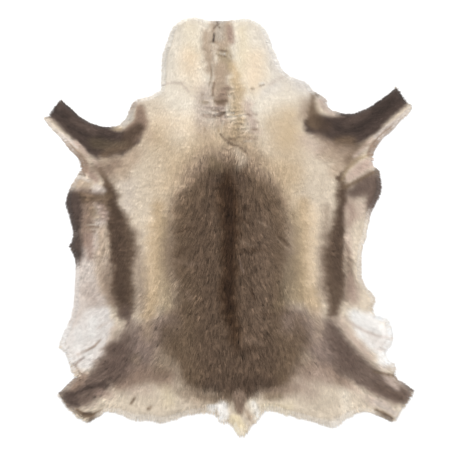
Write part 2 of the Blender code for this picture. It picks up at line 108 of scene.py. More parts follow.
# The coat's markings as strokes, each laid over the ones before it; the creases and folds are painted shade,
# and some crests and ridges painted highlights. A stroke has a colour, a strength, the width over which its
# edge fades, and a path, whose points are across, along and half width.
Stroke = namedtuple("Stroke", "colour strength soft path")
STROKES = [
    # The whole coat
    ("oat", 1.0, 10, [(0, 0, 2000)]),
    # The neck and its edges
    ("cream", 1.0, 120, [(-30, 678, 260), (-30, 468, 220)]),
    ("lichen", 0.6, 46, [(-160, 590, 22), (-184, 548, 22), (-190, 478, 26), (-200, 408, 20)]),
    ("mauve", 0.5, 28, [(-160, 610, 6), (-184, 568, 7), (-198, 530, 8), (-212, 490, 6), (-214, 428, 8)]),
    ("chalk", 0.8, 60, [(122, 588, 26), (152, 478, 28), (205, 428, 28)]),
    ("chalk", 0.6, 42, [(-150, 630, 18), (-60, 630, 15)]),
    ("chalk", 0.4, 30, [(30, 628, 12), (95, 618, 14)]),
    ("straw", 0.25, 40, [(-112, 588, 25), (-105, 518, 25)]),
    ("peach", 0.75, 60, [(-115, 498, 26), (-115, 408, 34)]),
    ("straw", 0.5, 40, [(38, 583, 14), (44, 508, 20), (40, 460, 16)]),
    ("peach", 0.7, 60, [(80, 498, 26), (75, 428, 34)]),
    # The parting of the neck
    ("fawn", 0.9, 26, [(-22, 610, 31), (-22, 558, 33), (-22, 543, 28)]),
    ("fawn", 0.9, 26, [(-66, 572, 9), (-62, 518, 14), (-56, 468, 14)]),
    ("lichen", 0.6, 20, [(-26, 600, 14), (-28, 560, 12)]),
    ("rose", 0.8, 16, [(2, 588, 8), (4, 550, 8)]),
    ("cream", 0.7, 9, [(-46, 540, 3), (-32, 531, 3)]),
    ("cream", 0.7, 9, [(-8, 527, 2), (16, 531, 3)]),
    ("olive", 0.75, 24, [(-14, 504, 22), (-10, 468, 22)]),
    ("cream", 0.7, 8, [(-38, 500, 3), (-36, 482, 3)]),
    ("fawn", 0.95, 26, [(-26, 468, 20), (-26, 413, 28), (-22, 378, 26)]),
    # The gold lock beside the parting
    ("honey", 0.6, 30, [(12, 476, 8), (22, 443, 13), (24, 408, 15)]),
    ("gold", 0.4, 20, [(20, 450, 5), (18, 418, 7)]),
    ("gold", 0.5, 36, [(22, 398, 17), (34, 308, 20)]),
    ("cream", 0.6, 9, [(-50, 488, 2), (-45, 438, 3)]),
    # The left shoulder
    ("cream", 0.85, 107, [(-145, 401, 48), (-120, 323, 65)]),
    ("oat", 0.8, 70, [(-264, 365, 24), (-228, 341, 42)]),
    ("chalk", 0.6, 40, [(-215, 406, 14), (-270, 383, 14)]),
    ("peach", 0.6, 70, [(-204, 305, 30), (-110, 298, 30)]),
    ("gold", 0.7, 90, [(-214, 252, 40), (-190, 170, 50), (-190, 110, 40)]),
    # The right shoulder
    ("cream", 0.8, 90, [(123, 377, 36), (189, 401, 36)]),
    ("chalk", 0.8, 48, [(212, 426, 21), (250, 396, 20)]),
    ("chalk", 0.5, 42, [(105, 401, 18), (141, 418, 18)]),
    ("honey", 0.4, 83, [(178, 323, 26), (177, 268, 34)]),
    ("gold", 0.5, 90, [(140, 300, 40), (175, 230, 44), (190, 160, 44)]),
    # The mane
    ("mauve", 0.65, 50, [(-72, 398, 22), (-72, 348, 28), (-62, 243, 26)]),
    ("fawn", 0.85, 36, [(-18, 316, 16), (5, 283, 22), (44, 260, 22)]),
    ("gold", 0.6, 40, [(22, 388, 16), (30, 348, 18), (32, 310, 15)]),
    ("olive", 0.35, 24, [(18, 370, 8), (24, 343, 8)]),
    ("blush", 0.75, 28, [(60, 360, 13), (68, 318, 14), (80, 284, 12)]),
    ("cream", 0.8, 14, [(78, 350, 5), (98, 348, 5)]),
    # The two tufts of the mane, with the bars and streaks round them: the dark bars are painted shade in the
    # troughs of its folds, the pale ones painted highlights on their crests
    ("clay", 0.8, 18, [(-8, 410, 5), (-20, 396, 10), (-24, 364, 13)]),
    ("mauve", 0.8, 18, [(-24, 348, 14), (-14, 328, 10), (-30, 298, 6)]),
    ("umber", 0.8, 8, [(-42, 372, 3), (-26, 369, 5), (-4, 372, 3)]),
    ("brown", 0.85, 8, [(-42, 324, 2), (-26, 328, 4), (-12, 335, 3)]),
    ("clay", 0.8, 6, [(-76, 330, 2), (-44, 332, 2)]),
    ("olive", 0.6, 14, [(-82, 369, 3), (-68, 372, 4)]),
    ("umber", 0.7, 7, [(-34, 361, 2), (-12, 361, 3)]),
    ("blush", 0.7, 12, [(-62, 353, 4), (-14, 351, 5)]),
    ("umber", 0.8, 6, [(-52, 345, 1), (-30, 341, 3), (-12, 339, 2)]),
    ("taupe", 0.7, 6, [(-68, 323, 2), (-44, 324, 2)]),
    ("cream", 0.7, 6, [(-84, 337, 2), (-54, 336, 2)]),
    ("cream", 0.6, 6, [(-72, 316, 2), (-46, 318, 2)]),
    ("cream", 0.7, 7, [(2, 386, 3), (6, 382, 3)]),
    # The dashes, beads and bars of the right mane: the dark ones are painted shade in the troughs of its
    # folds, the pale ones painted highlights on their crests
    ("ivory", 0.7, 5, [(2, 336, 1), (16, 335, 2)]),
    ("olive", 0.7, 5, [(2, 331, 2), (20, 331, 2)]),
    ("ivory", 0.7, 5, [(4, 326, 1), (22, 325, 2)]),
    ("cream", 0.7, 5, [(6, 319, 1), (20, 320, 1)]),
    ("cream", 0.8, 8, [(32, 329, 3), (47, 328, 3)]),
    ("olive", 0.5, 22, [(24, 298, 8), (20, 260, 9)]),
    ("olive", 0.7, 7, [(24, 359, 2), (34, 358, 2)]),
    ("taupe", 0.7, 7, [(56, 334, 3), (64, 328, 3)]),
    ("taupe", 0.6, 5, [(70, 335, 1), (84, 332, 2)]),
    ("taupe", 0.6, 5, [(74, 312, 1), (88, 309, 2)]),
    ("taupe", 0.6, 5, [(58, 277, 1), (72, 275, 2)]),
    ("cream", 0.6, 6, [(72, 323, 2), (92, 320, 2)]),
    ("cream", 0.6, 6, [(84, 298, 2), (104, 297, 2)]),
    # The curl and the marks of the left mane
    ("cream", 0.7, 8, [(-16, 310, 3), (-21, 294, 3), (-23, 279, 2)]),
    ("umber", 0.7, 6, [(-31, 290, 2), (-29, 282, 3)]),
    ("taupe", 0.8, 6, [(-72, 291, 2), (-71, 284, 2)]),
    ("clay", 0.8, 7, [(-90, 273, 2), (-80, 270, 2)]),
    ("taupe", 0.7, 6, [(-79, 390, 2), (-75, 392, 2)]),
    # The sides, below the mane and down the flanks
    ("fawn", 0.5, 50, [(60, 223, 30), (90, 193, 30)]),
    ("shell", 0.5, 50, [(-300, 128, 22), (-300, 58, 18)]),
    ("oat", 0.5, 90, [(-234, 183, 60), (-234, 109, 48)]),
    ("oat", 0.9, 60, [(266, 173, 34), (272, 88, 36), (262, -2, 30), (256, -72, 16)]),
    # The gold bands beside the saddle, and the shades along them
    ("gold", 0.7, 90, [(-30, 165, 132), (0, 98, 204)]),
    ("gold", 0.9, 40, [
        (-205, 58, 20), (-215, -25, 24), (-220, -129, 27), (-225, -218, 26), (-232, -264, 18),
    ]),
    ("peach", 0.4, 36, [(-236, 18, 14), (-236, -92, 13), (-228, -172, 10)]),
    ("gold", 0.85, 40, [(222, 64, 20), (226, -25, 24), (226, -129, 27), (236, -203, 30), (252, -250, 18)]),
    ("peach", 0.5, 36, [(252, 48, 15), (250, -62, 18), (246, -162, 14)]),
    ("olive", 0.7, 36, [(-190, 18, 10), (-188, -105, 16), (-180, -218, 21), (-178, -264, 18)]),
    ("olive", 0.75, 36, [(195, 35, 12), (200, -70, 14), (202, -208, 26)]),
    ("taupe", 0.55, 40, [(-278, -12, 10), (-264, -122, 18), (-262, -242, 16)]),
    ("taupe", 0.6, 40, [(290, 58, 6), (282, -62, 16), (282, -202, 18)]),
    # Behind the forelegs
    ("fawn", 0.85, 46, [(-366, 182, 24), (-322, 176, 34), (-270, 222, 18)]),
    ("taupe", 0.85, 40, [(-386, 174, 12), (-366, 156, 12), (-336, 190, 14)]),
    ("fawn", 0.75, 46, [(-250, 303, 10), (-236, 268, 16)]),
    ("fawn", 0.9, 42, [(296, 223, 30), (346, 198, 30), (320, 168, 20)]),
    ("umber", 0.7, 28, [(360, 200, 16), (380, 226, 18), (408, 246, 12)]),
    ("taupe", 0.45, 40, [(300, 236, 14), (345, 213, 20)]),
    ("blush", 0.5, 42, [(225, 260, 16), (268, 228, 20)]),
    # The saddle
    ("clay", 0.6, 80, [(-34, 140, 84), (-8, 98, 138), (0, 38, 170), (0, -82, 184)]),
    ("taupe", 0.85, 110, [(-48, 166, 20), (-30, 132, 64), (-4, 86, 118)]),
    ("umber", 1.0, 64, [
        (-38, 142, 14), (-20, 106, 66), (-4, 66, 124), (4, -2, 172), (2, -82, 178), (8, -202, 164),
        (12, -302, 156), (20, -337, 144),
    ]),
    # The foot of the saddle
    ("umber", 1.0, 50, [(-92, -322, 100), (-84, -428, 64)]),
    ("umber", 1.0, 40, [(26, -322, 80), (26, -450, 60)]),
    ("umber", 1.0, 50, [(132, -322, 98), (136, -430, 60)]),
    ("clay", 0.4, 40, [(-146, -264, 10)]),
    # The crest and the core of the saddle
    ("moss", 0.5, 40, [(-48, 194, 16), (-38, 174, 26)]),
    ("oat", 0.6, 30, [(26, 222, 12), (44, 192, 13), (30, 172, 10)]),
    ("brown", 0.8, 84, [
        (-22, 124, 34), (-4, 88, 76), (4, -2, 124), (6, -92, 128), (10, -189, 106), (22, -337, 120),
        (28, -432, 70),
    ]),
    ("bark", 0.55, 50, [(-44, 140, 20), (30, 132, 24)]),
    # The spine
    ("soot", 0.9, 36, [
        (-8, 148, 12), (2, 108, 24), (5, 38, 28), (5, -42, 25), (2, -122, 21), (-2, -202, 24),
        (2, -252, 22), (18, -322, 14), (22, -372, 10),
    ]),
    ("soot", 0.6, 40, [(-27, 104, 10), (-24, 58, 14)]),
    ("char", 0.85, 22, [
        (0, 102, 15), (4, 18, 17), (5, -52, 13), (0, -132, 10), (0, -202, 13), (0, -242, 11),
    ]),
    # The halves of the saddle, and its lower edge
    ("clay", 0.4, 16, [(-150, -106, 5), (-116, -118, 6), (-86, -116, 4)]),
    ("taupe", 0.2, 54, [(110, 18, 24), (110, -122, 34), (100, -282, 30)]),
    ("brown", 0.6, 50, [(-40, -402, 50), (90, -402, 60)]),
    ("brown", 0.35, 60, [(70, -50, 26), (110, -66, 20)]),
    ("bark", 0.7, 46, [(-60, -466, 22), (-14, -482, 26), (36, -486, 26), (116, -464, 22)]),
    ("umber", 0.7, 36, [(-150, -494, 12), (-90, -506, 14), (-46, -512, 16), (-8, -508, 14)]),
    ("clay", 0.7, 40, [(120, -500, 14), (190, -482, 18), (214, -478, 10)]),
    ("moss", 0.45, 40, [(186, -102, 10), (172, -202, 20), (150, -237, 14)]),
    # The dark band of the left flank
    ("brown", 0.85, 16, [(-392, 182, 4), (-376, 156, 6), (-362, 132, 8), (-352, 110, 12)]),
    ("taupe", 0.5, 34, [(-356, 166, 6), (-338, 132, 8)]),
    ("brown", 0.95, 30, [
        (-353, 110, 16), (-348, 58, 27), (-331, 8, 34), (-313, -52, 38), (-317, -112, 37), (-317, -172, 36),
        (-313, -217, 33), (-306, -252, 22),
    ]),
    ("bark", 0.75, 30, [
        (-345, 88, 12), (-334, 28, 18), (-325, -52, 22), (-322, -132, 22), (-318, -217, 18),
    ]),
    ("plum", 0.8, 30, [(-306, -257, 18), (-296, -287, 12)]),
    # The dark band of the right flank
    ("brown", 0.85, 14, [(352, 178, 2), (338, 160, 4), (330, 140, 10)]),
    ("brown", 0.93, 32, [
        (334, 138, 10), (337, 98, 18), (337, 58, 18), (330, 18, 20), (319, -32, 26), (314, -99, 32),
        (317, -159, 33), (318, -207, 27), (312, -252, 18),
    ]),
    ("bark", 0.6, 26, [(338, 94, 10), (332, 18, 12), (322, -62, 18), (322, -159, 18)]),
    # The left belly
    ("shell", 0.97, 24, [(-415, 68, 50), (-410, -40, 48), (-412, -152, 50), (-416, -263, 54)]),
    # The left armpit
    ("fawn", 0.8, 20, [(-446, 130, 16), (-424, 118, 18)]),
    ("shell", 0.75, 12, [(-394, 120, 7), (-380, 112, 9), (-368, 106, 6)]),
    ("plum", 0.8, 7, [(-438, 160, 3), (-428, 152, 3)]),
    ("shell", 0.8, 9, [(-458, 142, 3), (-436, 146, 4), (-414, 134, 3)]),
    ("rose", 0.85, 14, [(-431, 174, 8), (-408, 152, 10), (-394, 136, 8)]),
    ("umber", 0.7, 10, [(-386, 172, 2), (-370, 146, 3), (-352, 118, 5)]),
    ("brown", 0.8, 6, [(-413, 108, 2), (-409, 106, 2)]),
    # The edge, the shades and the dashes of the left belly
    ("plum", 0.85, 26, [(-440, 92, 20), (-412, 88, 16), (-390, 92, 8)]),
    ("umber", 0.9, 14, [(-450, 94, 8), (-420, 90, 8), (-390, 86, 4), (-352, 92, 6)]),
    ("clay", 0.95, 30, [(-428, 70, 32), (-424, 18, 26), (-424, -42, 20)]),
    ("rose", 0.85, 28, [(-376, 70, 12), (-372, 28, 12)]),
    ("umber", 0.85, 24, [(-436, 84, 14), (-396, 80, 11), (-364, 80, 12), (-360, 54, 6)]),
    ("olive", 0.5, 24, [(-404, 50, 12), (-392, 30, 10)]),
    ("cream", 0.7, 5, [(-420, 3, 1), (-394, 6, 2)]),
    ("umber", 0.8, 6, [(-426, -3, 1), (-408, 0, 2), (-386, -2, 2)]),
    ("cream", 0.6, 5, [(-424, -9, 1), (-392, -8, 1)]),
    ("umber", 0.7, 6, [(-414, -16, 2), (-396, -15, 2)]),
    ("fawn", 0.85, 30, [(-374, -10, 16), (-370, -72, 18)]),
    ("rose", 0.8, 26, [(-418, -32, 14), (-410, -66, 14), (-412, -90, 10)]),
    ("fawn", 0.75, 30, [(-384, -92, 18), (-372, -187, 16)]),
    ("taupe", 0.7, 30, [(-356, -102, 8), (-362, -150, 12), (-360, -190, 14), (-350, -227, 16)]),
    ("taupe", 0.5, 10, [(-425, -10, 4), (-390, -2, 4)]),
    ("mauve", 0.4, 40, [(-415, -192, 26), (-400, -217, 20)]),
    ("chalk", 0.5, 20, [(-456, -152, 10), (-456, -242, 12)]),
    ("coal", 0.95, 26, [
        (-474, 106, 14), (-462, 72, 27), (-456, 32, 23), (-456, -12, 17), (-458, -47, 24), (-448, -80, 18),
        (-456, -124, 4),
    ]),
    # The right belly
    ("oat", 0.97, 24, [(400, 58, 48), (392, -25, 46), (380, -129, 34), (400, -206, 36)]),
    ("plum", 0.95, 34, [(372, 100, 20), (404, 118, 32), (424, 132, 30), (432, 100, 30), (420, 70, 14)]),
    ("coal", 0.9, 18, [(446, 164, 8), (450, 138, 10), (452, 98, 12), (438, 62, 10), (424, 30, 6)]),
    ("umber", 0.9, 10, [(342, 116, 5), (376, 132, 5), (408, 150, 4), (440, 166, 4)]),
    ("rose", 0.8, 34, [(362, 58, 16), (370, 36, 16), (356, 8, 10)]),
    ("plum", 0.8, 20, [(430, 68, 20), (424, 38, 13), (416, 18, 7)]),
    ("blush", 0.6, 34, [(396, 60, 14), (398, 38, 10)]),
    ("blush", 0.6, 24, [(352, -16, 9), (356, -77, 12)]),
    ("taupe", 0.8, 26, [(350, -58, 4), (358, -110, 12), (358, -160, 12), (352, -210, 8)]),
    ("rose", 0.8, 34, [(360, -150, 6), (368, -190, 16), (372, -216, 12)]),
    # The right armpit
    ("blush", 0.9, 14, [(426, 192, 14), (396, 176, 14), (364, 152, 12), (352, 140, 7)]),
    ("rose", 0.45, 30, [(408, 184, 10), (384, 170, 9)]),
    ("olive", 0.8, 12, [(337, 140, 3), (351, 172, 4), (386, 201, 4), (420, 214, 3)]),
    ("shell", 0.5, 10, [(372, 207, 3), (394, 222, 4), (416, 236, 4)]),
    # The left foreleg
    ("coal", 1.0, 20, [
        (-514, 348, 30), (-459, 306, 37), (-403, 266, 45), (-359, 248, 45), (-320, 248, 36),
        (-288, 264, 26),
    ]),
    ("coal", 0.9, 22, [(-404, 230, 22), (-392, 206, 8)]),
    ("ink", 0.7, 22, [(-404, 242, 16), (-378, 242, 15)]),
    # The left shoulder blade, and the shades of the foreleg
    ("clay", 1.0, 24, [(-282, 280, 26), (-260, 313, 22), (-262, 350, 14)]),
    ("bark", 0.8, 22, [(-296, 266, 20), (-266, 294, 15)]),
    ("ink", 0.7, 30, [(-512, 343, 12), (-450, 298, 13), (-390, 260, 20), (-352, 256, 10)]),
    ("plum", 0.6, 22, [(-470, 316, 7), (-400, 280, 10)]),
    ("moss", 0.45, 26, [(-400, 248, 16), (-350, 238, 18), (-310, 244, 12)]),
    ("umber", 0.7, 27, [(-370, 212, 12), (-329, 226, 12), (-285, 243, 12)]),
    # The notch, the pale ridge and the grooves of the left foreleg: the ridge's paleness is a painted
    # highlight along a fold, and the grooves are painted shade
    ("lichen", 0.9, 14, [(-288, 350, 10), (-292, 320, 10), (-312, 302, 7)]),
    ("olive", 0.7, 12, [(-350, 292, 4), (-322, 288, 5)]),
    ("clay", 0.9, 12, [(-534, 300, 5), (-502, 268, 6), (-468, 236, 9), (-442, 204, 12), (-428, 172, 14)]),
    ("shell", 0.85, 8, [(-548, 318, 4), (-522, 295, 3), (-494, 272, 4), (-463, 249, 6), (-452, 236, 5)]),
    ("blush", 0.9, 8, [(-456, 252, 6), (-438, 234, 6), (-422, 212, 6)]),
    ("blush", 0.8, 8, [(-402, 198, 4), (-388, 180, 5)]),
    ("taupe", 0.8, 12, [(-472, 236, 4), (-452, 214, 8), (-436, 188, 8)]),
    ("taupe", 0.6, 36, [(-446, 214, 11), (-402, 170, 13), (-374, 162, 13)]),
    # The right foreleg
    ("coal", 1.0, 20, [
        (505, 381, 30), (464, 352, 34), (415, 314, 44), (360, 284, 49), (302, 290, 38), (252, 302, 30),
    ]),
    ("umber", 0.85, 26, [(362, 250, 20), (330, 248, 18)]),
    # The right shoulder blade, and the shades of the foreleg
    ("umber", 0.9, 28, [(250, 390, 5), (250, 364, 10), (246, 338, 18), (254, 312, 24)]),
    ("clay", 0.6, 44, [(216, 330, 10), (226, 364, 10)]),
    ("bark", 0.6, 26, [(284, 298, 22), (264, 318, 10)]),
    ("ink", 0.7, 30, [(498, 378, 12), (430, 333, 16), (385, 298, 20), (330, 296, 14)]),
    ("plum", 0.6, 24, [(420, 338, 7), (350, 303, 10)]),
    ("taupe", 0.6, 27, [(370, 230, 12), (325, 234, 12), (262, 266, 12)]),
    # The notch, the pale ridge and the groove of the right foreleg: the ridge's paleness is a painted
    # highlight along a fold, and the groove is painted shade
    ("mauve", 0.85, 15, [(272, 390, 9), (281, 362, 9), (296, 342, 7), (318, 333, 4)]),
    ("blush", 0.7, 16, [(275, 380, 6)]),
    ("clay", 0.9, 12, [(530, 336, 5), (492, 304, 7), (454, 266, 11), (432, 238, 12), (424, 216, 12)]),
    ("shell", 0.85, 8, [(538, 350, 4), (505, 323, 3), (475, 299, 5), (453, 280, 6), (436, 265, 5)]),
    ("blush", 0.7, 12, [(426, 260, 5), (400, 234, 5), (376, 210, 5)]),
    ("taupe", 0.7, 8, [(470, 290, 2), (446, 262, 4), (428, 238, 6)]),
    # The left groin
    ("bone", 1.0, 24, [(-368, -262, 22), (-398, -296, 54), (-426, -343, 66), (-430, -386, 42)]),
    ("shell", 0.6, 26, [(-448, -264, 14), (-470, -302, 12)]),
    ("blush", 0.5, 30, [(-338, -300, 8), (-350, -340, 8), (-372, -376, 8), (-392, -402, 8)]),
    ("ivory", 0.8, 20, [(-400, -282, 16), (-410, -318, 12)]),
    ("ivory", 0.7, 24, [(-446, -312, 14), (-440, -336, 12)]),
    ("ivory", 0.6, 16, [(-452, -354, 10), (-420, -382, 8)]),
    ("chalk", 0.6, 24, [(-492, -347, 12), (-474, -402, 12)]),
    ("mauve", 0.6, 22, [(-452, -428, 8), (-436, -442, 8)]),
    # The right groin
    ("ivory", 1.0, 28, [
        (376, -262, 18), (412, -296, 42), (442, -328, 46), (464, -362, 32), (466, -394, 26),
    ]),
    ("blush", 0.75, 34, [(334, -276, 8), (360, -322, 12), (390, -356, 12), (418, -388, 8)]),
    ("shell", 0.5, 40, [(424, -332, 14), (456, -352, 12)]),
    ("mauve", 0.5, 16, [(446, -414, 4), (476, -420, 5)]),
    # The left haunch
    ("smoke", 0.97, 60, [(-190, -302, 40), (-250, -337, 55), (-285, -400, 66)]),
    ("gold", 0.5, 60, [(-236, -268, 18), (-240, -322, 16)]),
    ("clay", 0.9, 46, [(-184, -454, 30), (-260, -444, 36), (-318, -464, 28)]),
    ("umber", 0.6, 60, [(-160, -330, 42), (-190, -410, 36)]),
    ("umber", 0.6, 46, [(-180, -300, 14), (-165, -342, 30)]),
    ("plum", 0.9, 44, [(-306, -320, 14), (-318, -372, 28), (-334, -427, 36)]),
    ("moss", 0.35, 26, [(-280, -392, 14)]),
    # The left hind leg
    ("plum", 0.92, 34, [
        (-334, -374, 31), (-362, -428, 36), (-394, -468, 38), (-436, -496, 40), (-464, -512, 30),
    ]),
    ("coal", 0.7, 20, [(-362, -474, 8), (-396, -474, 10), (-424, -480, 8), (-462, -498, 9)]),
    ("coal", 0.75, 22, [(-486, -500, 14), (-466, -516, 16), (-450, -532, 8)]),
    # The right haunch
    ("smoke", 0.97, 60, [(205, -288, 44), (262, -336, 56), (302, -387, 50)]),
    ("fawn", 0.75, 54, [(260, -262, 18), (268, -312, 14), (262, -340, 6)]),
    ("clay", 0.85, 46, [(250, -427, 30), (310, -442, 28), (350, -466, 18)]),
    ("umber", 0.55, 60, [(190, -350, 40), (206, -410, 36)]),
    ("umber", 0.6, 46, [(205, -282, 22), (210, -337, 30)]),
    ("plum", 0.9, 40, [(306, -292, 18), (326, -352, 28), (352, -412, 34)]),
    ("brown", 0.6, 14, [(206, -406, 6), (216, -410, 4)]),
    # The right hind leg
    ("plum", 0.92, 32, [
        (330, -340, 10), (356, -386, 28), (394, -430, 36), (446, -468, 33), (496, -494, 32),
        (520, -502, 26),
    ]),
    ("char", 0.25, 26, [(440, -472, 6), (480, -492, 8), (516, -514, 12)]),
    # The strips and the ends of the hind legs
    ("oat", 0.85, 12, [(-428, -541, 3), (-398, -528, 5), (-360, -510, 6), (-338, -498, 4)]),
    ("blush", 0.6, 12, [(-426, -540, 3), (-395, -526, 4)]),
    ("clay", 0.85, 16, [(-430, -446, 9), (-444, -464, 10), (-460, -482, 8)]),
    ("umber", 0.9, 13, [(-452, -548, 6), (-430, -560, 10), (-404, -564, 9), (-382, -552, 5)]),
    ("bark", 0.7, 10, [(-434, -556, 4), (-412, -556, 5)]),
    ("mauve", 0.8, 20, [(380, -507, 12), (416, -514, 14), (462, -530, 11), (494, -556, 7)]),
    ("chalk", 0.3, 24, [(440, -524, 8), (490, -552, 8)]),
    ("rose", 0.7, 26, [(352, -476, 12), (384, -488, 10)]),
    ("rose", 0.6, 26, [(-352, -502, 12), (-384, -498, 8)]),
    ("mauve", 0.9, 16, [(464, -443, 9), (482, -461, 11), (502, -479, 9)]),
    ("pewter", 0.8, 12, [(512, -456, 5), (528, -467, 6), (542, -480, 7)]),
    ("umber", 0.7, 10, [(432, -431, 3), (460, -437, 4), (488, -443, 4), (522, -467, 3), (546, -484, 3)]),
    ("umber", 0.8, 14, [(438, -546, 4), (456, -554, 7), (482, -570, 8)]),
    ("bark", 0.8, 9, [(462, -558, 3), (486, -572, 4)]),
    # The left of the rump
    ("oat", 0.95, 50, [(-318, -522, 26), (-250, -517, 48), (-130, -532, 28)]),
    ("blush", 0.4, 36, [(-290, -486, 16), (-240, -488, 14)]),
    ("ivory", 0.8, 34, [(-323, -566, 10), (-250, -578, 12), (-204, -582, 10), (-90, -570, 8)]),
    ("straw", 0.45, 36, [(-185, -488, 16), (-178, -522, 18)]),
    ("fawn", 0.45, 30, [(-130, -502, 16), (-85, -530, 14)]),
    # The right of the rump
    ("oat", 0.95, 50, [(225, -527, 26), (290, -522, 48), (376, -522, 34)]),
    ("straw", 0.5, 30, [(110, -537, 12), (180, -537, 14)]),
    ("moss", 0.5, 26, [(112, -504, 9), (150, -504, 9)]),
    ("rose", 0.45, 60, [(215, -442, 26), (236, -487, 24)]),
    ("blush", 0.5, 40, [(262, -432, 18), (290, -452, 18)]),
    ("ivory", 0.8, 34, [(120, -552, 8), (190, -576, 8), (302, -598, 14), (361, -568, 8)]),
    ("cream", 0.5, 30, [(345, -502, 16), (350, -542, 12)]),
    ("umber", 0.8, 9, [(-279, -508, 3), (-290, -526, 3)]),
    ("umber", 0.8, 12, [(-238, -540, 5), (-230, -534, 3)]),
    # The tail
    ("ivory", 0.9, 16, [(-56, -540, 8), (-20, -534, 15), (-14, -558, 16), (-22, -576, 8)]),
    ("cream", 1.0, 14, [(72, -528, 14), (88, -558, 12)]),
    ("ivory", 0.5, 12, [(74, -524, 6), (86, -554, 6)]),
    ("straw", 0.9, 16, [(20, -574, 18), (38, -608, 14)]),
    ("chalk", 0.5, 14, [(38, -612, 8)]),
    ("taupe", 1.0, 14, [(30, -502, 20), (32, -536, 15), (34, -550, 9)]),
    ("fawn", 0.85, 12, [(54, -550, 6), (66, -574, 7)]),
    # The creases of the parting, in painted shade, and its specks
    ("ink", 0.95, 6, [(-43, 572, 2), (-44, 558, 2), (-46, 549, 3)]),
    ("umber", 0.7, 5, [(-58, 548, 1), (-34, 547, 1)]),
    ("umber", 0.8, 6, [(-28, 592, 2), (-27, 589, 2)]),
    ("brown", 0.8, 6, [(-48, 578, 1), (-43, 589, 2), (-30, 603, 2)]),
    # The cowlicks of the neck
    ("bark", 0.85, 6, [(-32, 525, 1), (-15, 520, 2), (-7, 519, 2)]),
    ("umber", 0.85, 6, [(-37, 512, 1), (-20, 507, 2), (-8, 504, 2)]),
    ("ivory", 0.8, 6, [(-26, 514, 1), (-10, 511, 2)]),
    ("umber", 0.7, 6, [(4, 509, 1), (9, 499, 1)]),
    # The creases down and across the neck, in painted shade, with a painted highlight along one of them
    ("umber", 0.6, 8, [(-52, 478, 1), (-50, 450, 2), (-58, 418, 2)]),
    ("umber", 0.8, 9, [(-42, 426, 2), (-47, 408, 3), (-46, 390, 2)]),
    ("mauve", 0.7, 9, [(-200, 422, 2), (-170, 427, 2), (-140, 425, 2), (-118, 400, 2)]),
    ("umber", 0.7, 7, [(68, 408, 2), (76, 409, 2)]),
    ("umber", 0.7, 6, [(92, 417, 2), (104, 421, 2)]),
    ("ivory", 0.9, 5, [(92, 423, 2), (104, 426, 2)]),
    ("mauve", 0.5, 14, [(122, 422, 3), (160, 442, 2)]),
    # The crease of the withers, in painted shade, and the marks beside it
    ("bark", 0.85, 7, [(-25, 274, 2), (-14, 260, 2), (0, 251, 3)]),
    ("umber", 0.85, 7, [(2, 246, 3), (14, 241, 4), (30, 238, 2), (40, 228, 2), (48, 221, 2), (58, 212, 1)]),
    ("umber", 0.8, 10, [(2, 259, 3), (18, 256, 4)]),
    ("clay", 0.8, 7, [(48, 258, 2), (84, 260, 2)]),
    ("cream", 0.7, 5, [(46, 253, 2), (68, 253, 2)]),
    ("umber", 0.7, 7, [(66, 287, 2), (84, 288, 3)]),
    # The creases of the groins, in painted shade
    ("clay", 0.8, 7, [(-381, -336, 2), (-399, -356, 3), (-423, -368, 2)]),
    ("mauve", 0.6, 12, [(-423, -368, 3), (-447, -380, 4)]),
    ("smoke", 0.8, 7, [(-432, -389, 2), (-450, -404, 3), (-462, -419, 3)]),
    ("umber", 0.8, 6, [(-446, -434, 2), (-441, -438, 2)]),
    ("mauve", 0.5, 10, [(-345, -278, 2), (-366, -288, 2), (-390, -302, 2)]),
    ("mauve", 0.6, 12, [(343, -270, 3), (370, -292, 5), (402, -309, 4), (440, -324, 3), (488, -332, 2)]),
    ("mauve", 0.5, 12, [(436, -364, 2), (468, -368, 3)]),
    # The folds of the back, whose dark lines are painted shade, and the dashes and spots among them
    ("soot", 0.55, 9, [(36, 20, 2), (50, 14, 3), (64, 6, 2)]),
    ("soot", 0.6, 10, [(70, -66, 3), (77, -72, 3)]),
    ("soot", 0.45, 10, [(34, -76, 2), (66, -78, 3), (94, -70, 2), (120, -74, 1)]),
    ("char", 0.5, 11, [(148, -28, 2), (166, -42, 3), (182, -60, 3)]),
    ("fawn", 0.5, 8, [(140, -34, 1), (158, -52, 2), (178, -70, 2)]),
    ("char", 0.6, 10, [(68, -186, 3), (72, -206, 4), (80, -220, 2)]),
    ("smoke", 0.55, 9, [(33, -104, 2), (38, -122, 3), (45, -138, 2)]),
    ("fawn", 0.5, 7, [(34, -45, 1), (54, -51, 2), (73, -60, 1)]),
    ("fawn", 0.5, 7, [(84, 15, 1), (104, 4, 2), (123, -4, 1)]),
    ("char", 0.5, 10, [(14, -168, 3), (28, -182, 3)]),
    ("soot", 0.5, 9, [(42, 58, 2), (54, 48, 3), (66, 42, 1)]),
    ("char", 0.4, 12, [(-150, -86, 3), (-142, -70, 3), (-118, -62, 2)]),
    ("char", 0.4, 12, [(-160, -20, 2), (-128, -10, 4), (-100, -4, 2)]),
    ("clay", 0.4, 16, [(-126, -196, 8), (-112, -222, 8)]),
    ("char", 0.3, 22, [(-148, -206, 5), (-154, -232, 5)]),
    ("char", 0.45, 12, [(96, -258, 3), (118, -266, 4), (134, -262, 2)]),
    ("char", 0.4, 14, [(20, -352, 3), (46, -366, 4), (78, -362, 2)]),
    ("clay", 0.35, 18, [(52, -334, 6), (92, -344, 6)]),
]

